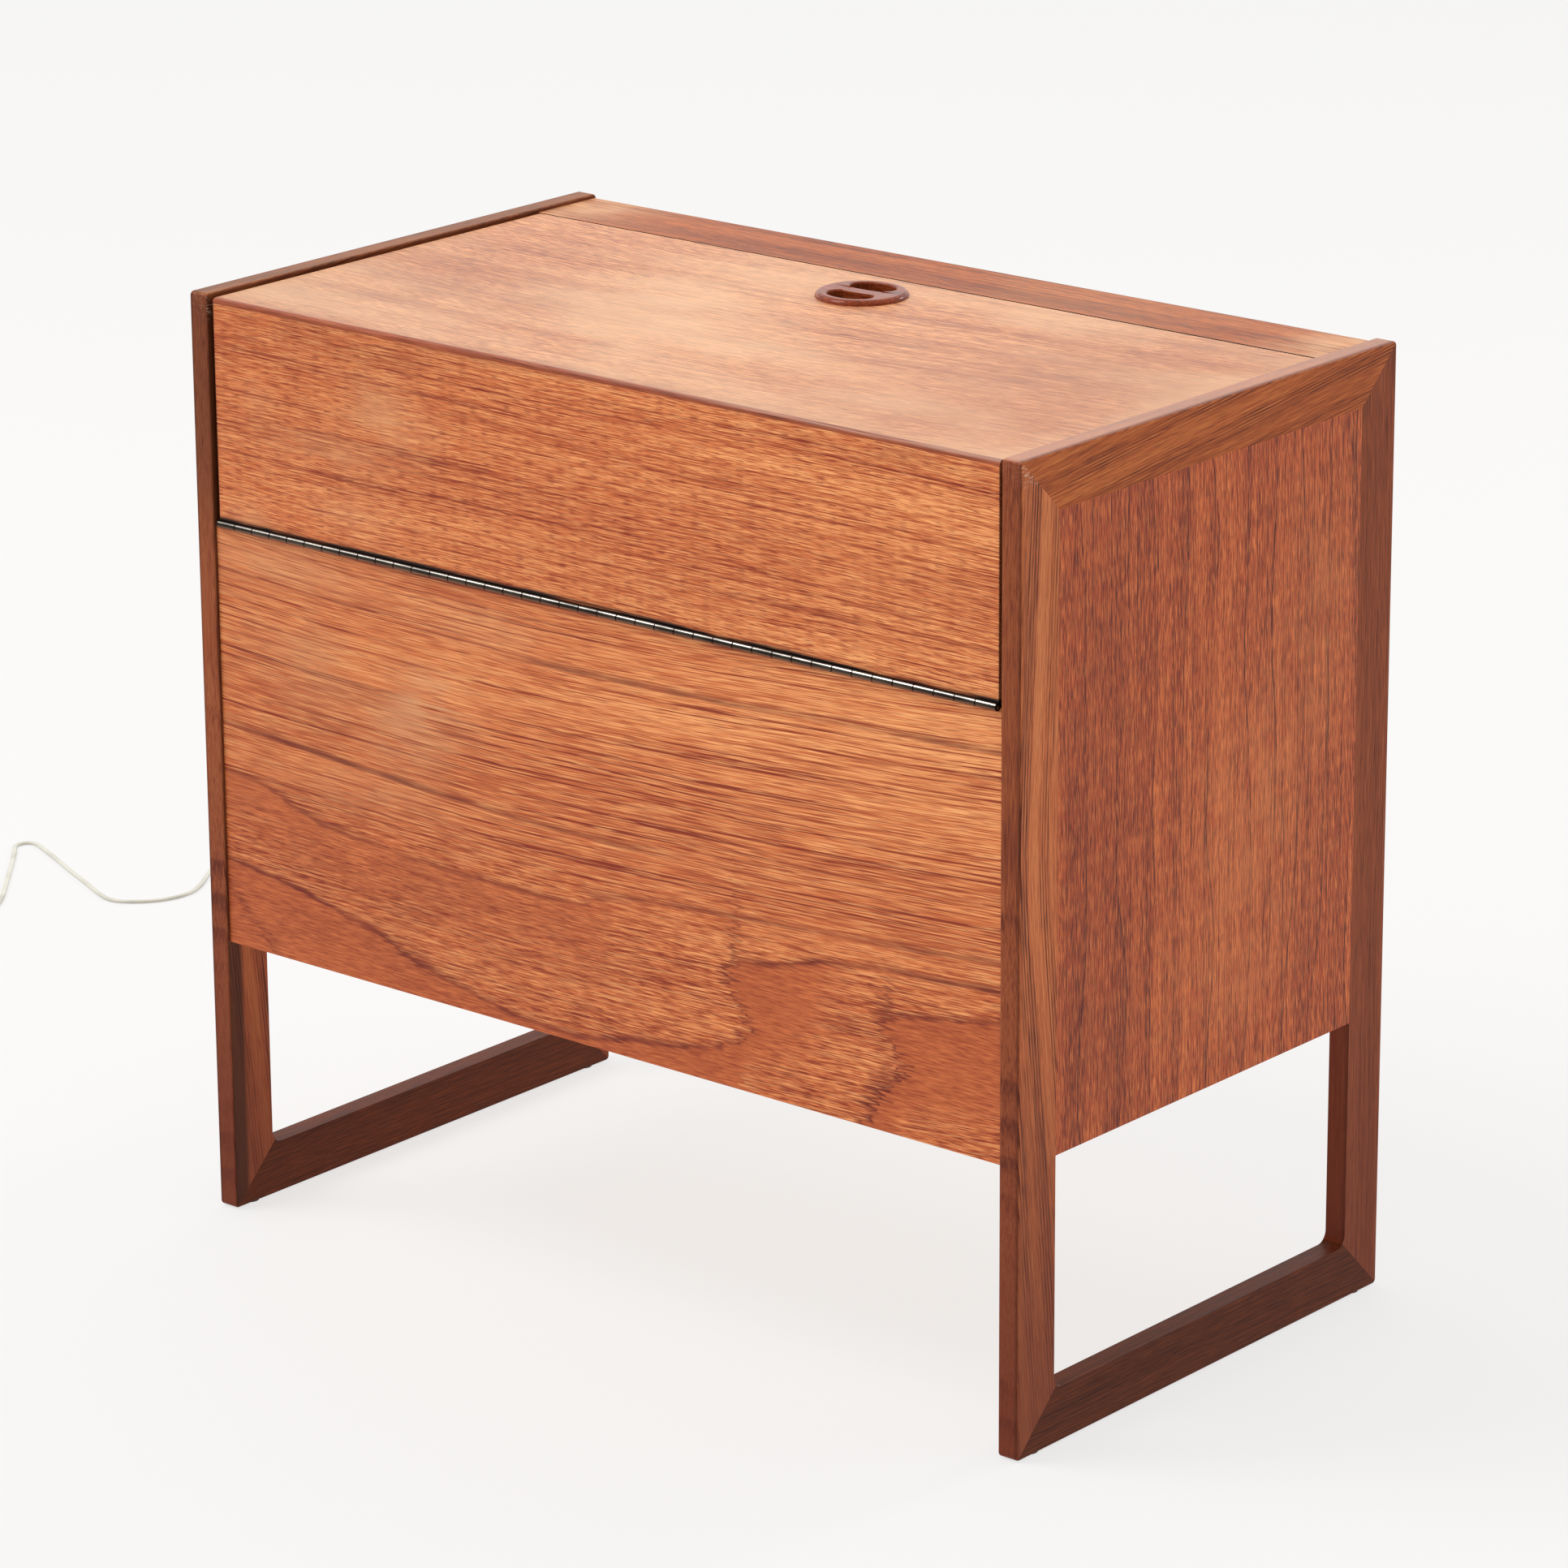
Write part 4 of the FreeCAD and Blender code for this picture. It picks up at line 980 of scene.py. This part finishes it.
def ring_turn(paint, place, at, period, reach=RING_WAVE):
    """How far a point is through its growth ring, from 0 to 1, with rings at a wavy, uneven pitch."""
    wave = paint.noise(list(place.values()), RING_WAVE_CELL, detail=1.0, seed=5.0)
    turns = paint.linear(at, 1 / period, RING_START)
    return paint.math("FRACT", paint.add(turns, paint.sway(wave, reach)))


def ribbon(paint, place, dash, tone, across, period, ring, line, bend):
    """A figure of rings that each darken a little and end in a thin line, here strong, there faint."""
    at = paint.add(place[across], bend(paint, place))
    turn = ring_turn(paint, place, at, period, RIBBON_WAVE)
    faint = paint.noise(list(place.values()), RIBBON_CELL, detail=1.0, seed=71.0)
    faint = paint.rise(faint, *RIBBON_COVER)
    thin = paint.rise(paint.add(turn, paint.sway(dash, RIBBON_RAGGED)), *RIBBON_LINE)
    darker = paint.mul(paint.rise(turn, *RIBBON_DARKENS), ring)
    mark = paint.add(darker, paint.mul(thin, faint, line))
    mark = paint.mul(mark, paint.fall(turn, *RIBBON_ENDS))
    return paint.sub(paint.add(tone, MIDDLE_TONE + RIBBON_LIFT * ring), mark), 1.0, 0.0


def bunched(paint, place, dash, tone, across, period, pitch, strength, bend):
    """A figure of bunches of fine dark lines with plain wood between them."""
    at = paint.add(place[across], bend(paint, place))
    turn = ring_turn(paint, place, at, period)
    bunch = paint.mul(paint.rise(turn, *BUNCH_STARTS), paint.fall(turn, *BUNCH_ENDS))
    fine = ring_turn(paint, place, at, pitch)
    lines = paint.mul(paint.rise(fine, *BUNCH_LINE), paint.fall(fine, *BUNCH_ENDS))
    mark = paint.mul(bunch, paint.linear(lines, strength, BUNCH_BETWEEN * strength))
    return paint.sub(paint.add(tone, MIDDLE_TONE + BUNCH_LIFT * strength), mark), 1.0, 0.0


def member(paint, place, streak, colour, low, high, floor_shade):
    """A frame member's wear and painted shade: soiled edges, painted shade in dark inner corners, on
    the arris and darker to the floor, and a rubbed top.
    """
    normal = paint.facing()
    edge = paint.rise(paint.math("ABSOLUTE", normal["y"]), *FACING_EDGE)
    colour = paint.mix(paint.mul(edge, MEMBER_SOIL), colour, SOIL_AND_SHADE)
    # Painted shade towards the floor
    foot = paint.mul(paint.fall(place["z"], low, high), floor_shade)
    colour = paint.mix(foot, colour, SOIL_AND_SHADE)
    side = paint.math("SIGN", place["x"])
    dark = paint.linear(side, CROWN_RIGHTWARD, CROWN_DARK)
    colour = paint.mix(paint.mul(paint.rise(place["z"], *CROWN_Z), dark), colour, RECESS)
    # Painted shade on the inner faces near the front
    inward = paint.rise(paint.mul(normal["x"], side, -1.0), *FACING)
    corner = paint.fall(place["y"], *CORNER_Y)
    colour = paint.mix(paint.mul(inward, corner, CORNER_DARK), colour, RECESS)
    # Painted shade on the outer arris
    arris = paint.rise(paint.math("ABSOLUTE", place["x"]), *ARRIS_X)
    colour = paint.mix(paint.mul(arris, edge, ARRIS_DARK), colour, RECESS)
    rubbed = paint.noise(list(place.values()), RUB_CELL, detail=1.0, seed=13.0)
    top = paint.mul(paint.rise(place["z"], *RUB_Z), paint.fall(place["y"], *RUB_Y))
    strength = paint.linear(edge, RUB_FRONT - RUB_SIDE, RUB_SIDE)
    return paint.mix(paint.mul(paint.rise(rubbed, *RUB_COVER), top, strength), colour, WEAR_AND_HIGHLIGHT)


def rail_top(paint, place, streak, colour):
    """A top rail's painted light: a sheen on its upper face, pale on the right and dull on the left,
    and painted shade on its edges.
    """
    normal = paint.facing()
    upward = paint.rise(normal["z"], *FACING_UP)
    # Painted sheen on the upper face, pale on the right rail and dull on the left
    right = paint.rise(place["x"], *RAIL_MIDDLE_X)
    colour = paint.mix(paint.mul(upward, right, RAIL_SHEEN_PALE), colour, SHEEN_PALE)
    colour = paint.mix(paint.mul(upward, paint.sub(1.0, right), RAIL_SHEEN_DULL), colour, SHEEN_DULL)
    # Painted shade on the outer arris
    arris = paint.rise(paint.math("ABSOLUTE", place["x"]), *RAIL_ARRIS_X)
    colour = paint.mix(paint.mul(arris, upward, RAIL_ARRIS_SHADE), colour, SOIL_AND_SHADE)
    # Painted shade on the inner face
    inward = paint.rise(paint.mul(normal["x"], paint.math("SIGN", place["x"]), -1.0), *FACING)
    return paint.mix(paint.mul(inward, RAIL_INNER_DARK), colour, RECESS)


def highlit_end(paint, place, streak, colour):
    """The lipping's painted highlight: its arris pale in streaks, like wear, towards its right end."""
    # A painted highlight on the arris
    glint = paint.mul(paint.rise(place["x"], *LIPPING_X), paint.rise(streak, *LIPPING_STREAK))
    arris = paint.rise(place["z"], *LIPPING_Z)
    return paint.mix(paint.mul(glint, arris, LIPPING_HIGHLIGHT), colour, WEAR_AND_HIGHLIGHT)


def moulded(name, colour, roughness=0.38, soil=0.2, grain_depth=0.00002):
    """Plastic with a fine moulded grain and faint dirt."""
    paint = Paint(bpy.data.materials.new(name))
    point = list(paint.place().values())
    dirt = paint.rise(paint.noise(point, DIRT_CELL, detail=4.0), *DIRT_COVER)
    grain = paint.noise(point, MOULD_CELL, detail=1.0, seed=9.0)
    darker = tuple(c * DIRT_DARKER for c in colour)
    paint.set(Base_Color=paint.mix(paint.mul(dirt, soil), colour, darker))
    paint.set(Roughness=paint.linear(dirt, DIRT_ROUGHER, roughness))
    paint.bump(grain, grain_depth)
    return paint.owner


def hinge_light_and_wear(paint, place, stain, shade):
    """The hinge's painted highlight on its crest, painted reflection of warm wood on its underside,
    painted shade in the gaps between knuckles, and brighter leaf.
    """
    normal = paint.facing()
    # A painted highlight on the crest, fainter where stained
    towards = paint.add(paint.mul(normal["y"], -CREST_FRONT), paint.mul(normal["z"], CREST_UP))
    glint = paint.linear(stain, HIGHLIGHT_STAINED - HIGHLIGHT_CLEAN, HIGHLIGHT_CLEAN)
    shade = paint.mix(paint.mul(paint.rise(towards, *CREST_FACING), glint), shade, CREST_HIGHLIGHT)
    # A painted reflection of warm wood on the underside
    under = paint.fall(normal["z"], *UNDER_FACING)
    shade = paint.mix(paint.mul(under, UNDER_REFLECTION), shade, KNUCKLE_REFLECTION)
    # Painted shade in the gaps between knuckles
    turn = paint.math("FRACT", paint.linear(place["x"], 1 / KNUCKLE_PITCH, RING_START))
    off = paint.math("ABSOLUTE", paint.sub(turn, 0.5))
    shade = paint.mix(paint.fall(off, *KNUCKLE_GAP), shade, GAP_DARK)
    leaf = paint.rise(place["y"], *LEAF_Y)
    bright = paint.linear(stain, LEAF_STAINED - LEAF_CLEAN, LEAF_CLEAN)
    return paint.mix(paint.mul(leaf, bright), shade, LEAF_BRONZE)


def metal(name, shades, roughness, light_and_wear=None):
    """Metal with drawn lines along x and dull stains, and its own painted light and wear if it has
    them.
    """
    paint = Paint(bpy.data.materials.new(name))
    place = paint.place()
    point = list(place.values())
    stain = paint.rise(paint.noise(point, STAIN_CELL, detail=3.0), *STAIN_COVER)
    drawn = paint.noise(point, DRAWN_CELL, detail=1.0, seed=9.0)
    shade = paint.mix(stain, *shades)
    if light_and_wear:
        shade = light_and_wear(paint, place, stain, shade)
    rough = paint.linear(stain, STAIN_ROUGHER, roughness)
    paint.set(Base_Color=shade, Metallic=1.0)
    paint.set(Roughness=paint.add(rough, paint.sway(drawn, DRAWN_ROUGHNESS)))
    paint.bump(drawn, DRAWN_DEPTH)
    return paint.owner


def glass(name, tint, smudge):
    """Clear glass with faint smudges."""
    paint = Paint(bpy.data.materials.new(name))
    point = list(paint.place().values())
    touched = paint.rise(paint.noise(point, SMUDGE_CELL, detail=4.0), *SMUDGE_COVER)
    paint.set(Base_Color=tint, Transmission_Weight=1.0, IOR=GLASS_IOR)
    paint.set(Roughness=paint.linear(touched, smudge, GLASS_ROUGHNESS))
    return paint.owner


def dress(material, *names):
    """Gives CAD nodes a material."""
    for name in names:
        slots = nodes[name].data.materials
        for i in range(len(slots)):
            slots[i] = material


def dress_panels():
    lower = teak(
        "teak_front_lower", "xz", TEAK_FRONT, LOWER_GRAIN,
        lean=partial(bowed, along="x", middle=-0.1, depth=0.084),
        figure=flame,
        wear_and_light=partial(patched, face=LOWER_FACE, patches=LOWER_PATCHES),
    )
    upper = teak(
        "teak_front_upper", "xz", TEAK_FRONT, UPPER_GRAIN,
        figure=partial(livelier, face=UPPER_FACE, start=0.5, end=0.95, more=0.4, lighter=0.06),
        wear_and_light=partial(patched, face=UPPER_FACE, patches=UPPER_PATCHES, end_x=LID_END_X),
    )
    top = teak(
        "teak_top", "xy", TEAK_TOP, TOP_GRAIN,
        roughness=0.4,
        lean=partial(bowed, along="x", middle=-0.15, depth=0.14),
        wear_and_light=partial(patched, face=TOP_FACE, patches=TOP_PATCHES, sheen=0.5),
        gloss=0.25,
    )
    strip = teak(
        "teak_strip", "xy", TEAK_STRIP, STRIP_GRAIN,
        wear_and_light=partial(patched, face=TOP_FACE, patches=STRIP_PATCHES, sheen=0.1, dark_edge=True),
        gloss=0.1,
    )
    side_slope = partial(sloped, along="z", slope=0.013)
    side = teak(
        "teak_side", "zy", TEAK_SIDE, SIDE_GRAIN,
        roughness=0.45,
        lean=side_slope,
        figure=partial(ribbon, across="y", period=0.0365, ring=0.12, line=0.45, bend=side_slope),
        wear_and_light=partial(patched, face=SIDE_FACE, patches=SIDE_PATCHES),
    )
    dress(lower, "lower_front_panel")
    dress(upper, "lid_front_panel")
    dress(top, "lid_top_panel")
    dress(strip, "rear_top_strip")
    dress(side, "left_side_panel", "right_side_panel")
    dress(teak("teak_back", "zx", TEAK_BACK, SIDE_GRAIN, roughness=0.55), "back_panel")


def dress_frames():
    leg_bend = partial(kinked, along="z", middle=0.45, before=-0.11, after=0.055, soft=0.05)
    leg = teak(
        "teak_leg", "zy", TEAK_LEG, SOLID_GRAIN,
        lean=leg_bend,
        figure=partial(bunched, across="y", period=0.024, pitch=0.0031, strength=0.36, bend=leg_bend),
        wear_and_light=partial(member, low=0.0, high=0.42, floor_shade=0.75),
        gloss=0.12,
    )
    rear_leg = teak(
        "teak_rear_leg", "zy", TEAK_REAR, SOLID_GRAIN,
        roughness=0.45,
        wear_and_light=partial(member, low=0.0, high=0.4, floor_shade=0.5),
        gloss=0.1,
    )
    rail_slope = partial(sloped, along="y", slope=-0.11, sideways=0.8)
    rail = teak(
        "teak_rail", "yz", TEAK_RAIL, SOLID_GRAIN,
        lean=rail_slope,
        figure=partial(bunched, across="z", period=0.027, pitch=0.0024, strength=0.25, bend=rail_slope),
        wear_and_light=rail_top,
        gloss=0.12,
    )
    runner = teak("teak_runner", "yz", TEAK_RUNNER, SOLID_GRAIN, roughness=0.48, gloss=0.1)
    for side in ("left", "right"):
        dress(leg, side + "_front_leg")
        dress(rear_leg, side + "_rear_leg")
        dress(rail, side + "_top_rail")
        dress(runner, side + "_runner")


def dress_fittings():
    lipping = teak(
        "teak_lipping", "xz", TEAK_LIPPING, SOLID_GRAIN, roughness=0.36, wear_and_light=highlit_end, gloss=0.15
    )
    dress(lipping, "lid_lipping")
    lacquer = {"roughness": 0.3, "gloss": 0.05, "coat": 0.3, "pore_depth": 0.00001}
    dress(teak("teak_pull", "xy", TEAK_PULL, SOLID_GRAIN, **lacquer), "pull_ring")
    dress(teak("teak_dish", "xy", TEAK_DISH_SHADED, SOLID_GRAIN, **lacquer), "pull_dish")
    rest = teak("teak_rest", "xz", TEAK_BACK, SOLID_GRAIN, roughness=0.5)
    dress(rest, "lid_rest_rail", "lid_corner_strip")
    dividers = [name for name in nodes if name.startswith("bottle_divider")]
    pale = teak("pale_wood", "xz", BEECH, SOLID_GRAIN, roughness=0.5)
    dress(pale, "bottom_panel", "partition", "shelf_cleats", *dividers)
    bronze = metal("hinge_bronze", BRONZE, roughness=0.2, light_and_wear=hinge_light_and_wear)
    dress(bronze, "hinge_fixed_leaf", "hinge_lid_leaf")
    dress(metal("hinge_pin_steel", STEEL, roughness=0.3), "hinge_pin")
    dress(metal("plug_brass", BRASS, roughness=0.25), "plug_pins")
    dress(moulded("black_glide", GLIDE_BLACK, roughness=0.5, soil=0.3), "glides")
    dress(moulded("black_holder", HOLDER_BLACK, roughness=0.3), "lamp_holder", "switch_body")
    dress(moulded("ivory_plunger", PLUNGER_IVORY, roughness=0.3), "switch_plunger")
    dress(moulded("ivory_clip", CLIP_IVORY, roughness=0.4), "lead_clips", "strain_relief")
    dress(moulded("ivory_plug", PLUG_IVORY, roughness=0.35), "plug_body")
    dress(glass("shelf_glass", SHELF_TINT, smudge=0.06), "glass_shelf")
    dress(glass("bulb_glass", BULB_TINT, smudge=0.3), "lamp_bulb")


def make_stage():
    bpy.ops.mesh.primitive_plane_add(size=FLOOR_SIZE)
    floor = bpy.context.object
    floor.name = "floor"
    paint = Paint(bpy.data.materials.new("floor_white"))
    paint.set(Base_Color=FLOOR_COLOUR, Roughness=FLOOR_ROUGHNESS, Specular_IOR_Level=0.0)
    paint.set(Emission_Color=FLOOR_GLOW_COLOUR, Emission_Strength=FLOOR_GLOW)
    floor.data.materials.append(paint.owner)
    sky = Paint(bpy.data.worlds.new("studio"), "Background")
    bpy.context.scene.world = sky.owner
    towards = sky.node("ShaderNodeVectorMath", operation="DOT_PRODUCT")
    sky.feed(towards.inputs[0], sky.node("ShaderNodeTexCoord").outputs["Generated"])
    towards.inputs[1].default_value = SKY_BRIGHT_TOWARDS
    bright = sky.rise(towards.outputs["Value"], -1.0, 1.0)
    sky.set(Color=SKY_COLOUR, Strength=sky.linear(bright, SKY_MOST - SKY_LEAST, SKY_LEAST))
    for name, at, size, power in LAMPS:
        light = bpy.data.lights.new(name, "AREA")
        light.shape = "DISK"
        light.size = size
        light.energy = power
        lamp = placed(name, light)
        lamp.location = at
        lamp.rotation_euler = (LAMP_AIM - at).to_track_quat("-Z", "Y").to_euler()


make_camera()
tie = make_tie(moulded("paper_tie", TIE_PAPER, roughness=0.55))
ivory = moulded("ivory_flex", FLEX_IVORY, roughness=0.36, soil=0.3, grain_depth=0.000004)
make_flex(ivory)
screw = metal("hinge_screw", SCREW_BRASS, roughness=0.3)
screw_heads("hinge_screws_fixed", "cabinet", screw, FIXED_LEAF_FACE, 1)
screw_heads("hinge_screws_lid", "lid", screw, LID_LEAF_FACE, -1)
dress(ivory, "lamp_lead", "switch_lead")
dress_panels()
dress_frames()
dress_fittings()
make_stage()
bpy.context.scene.view_settings.view_transform = "Standard"
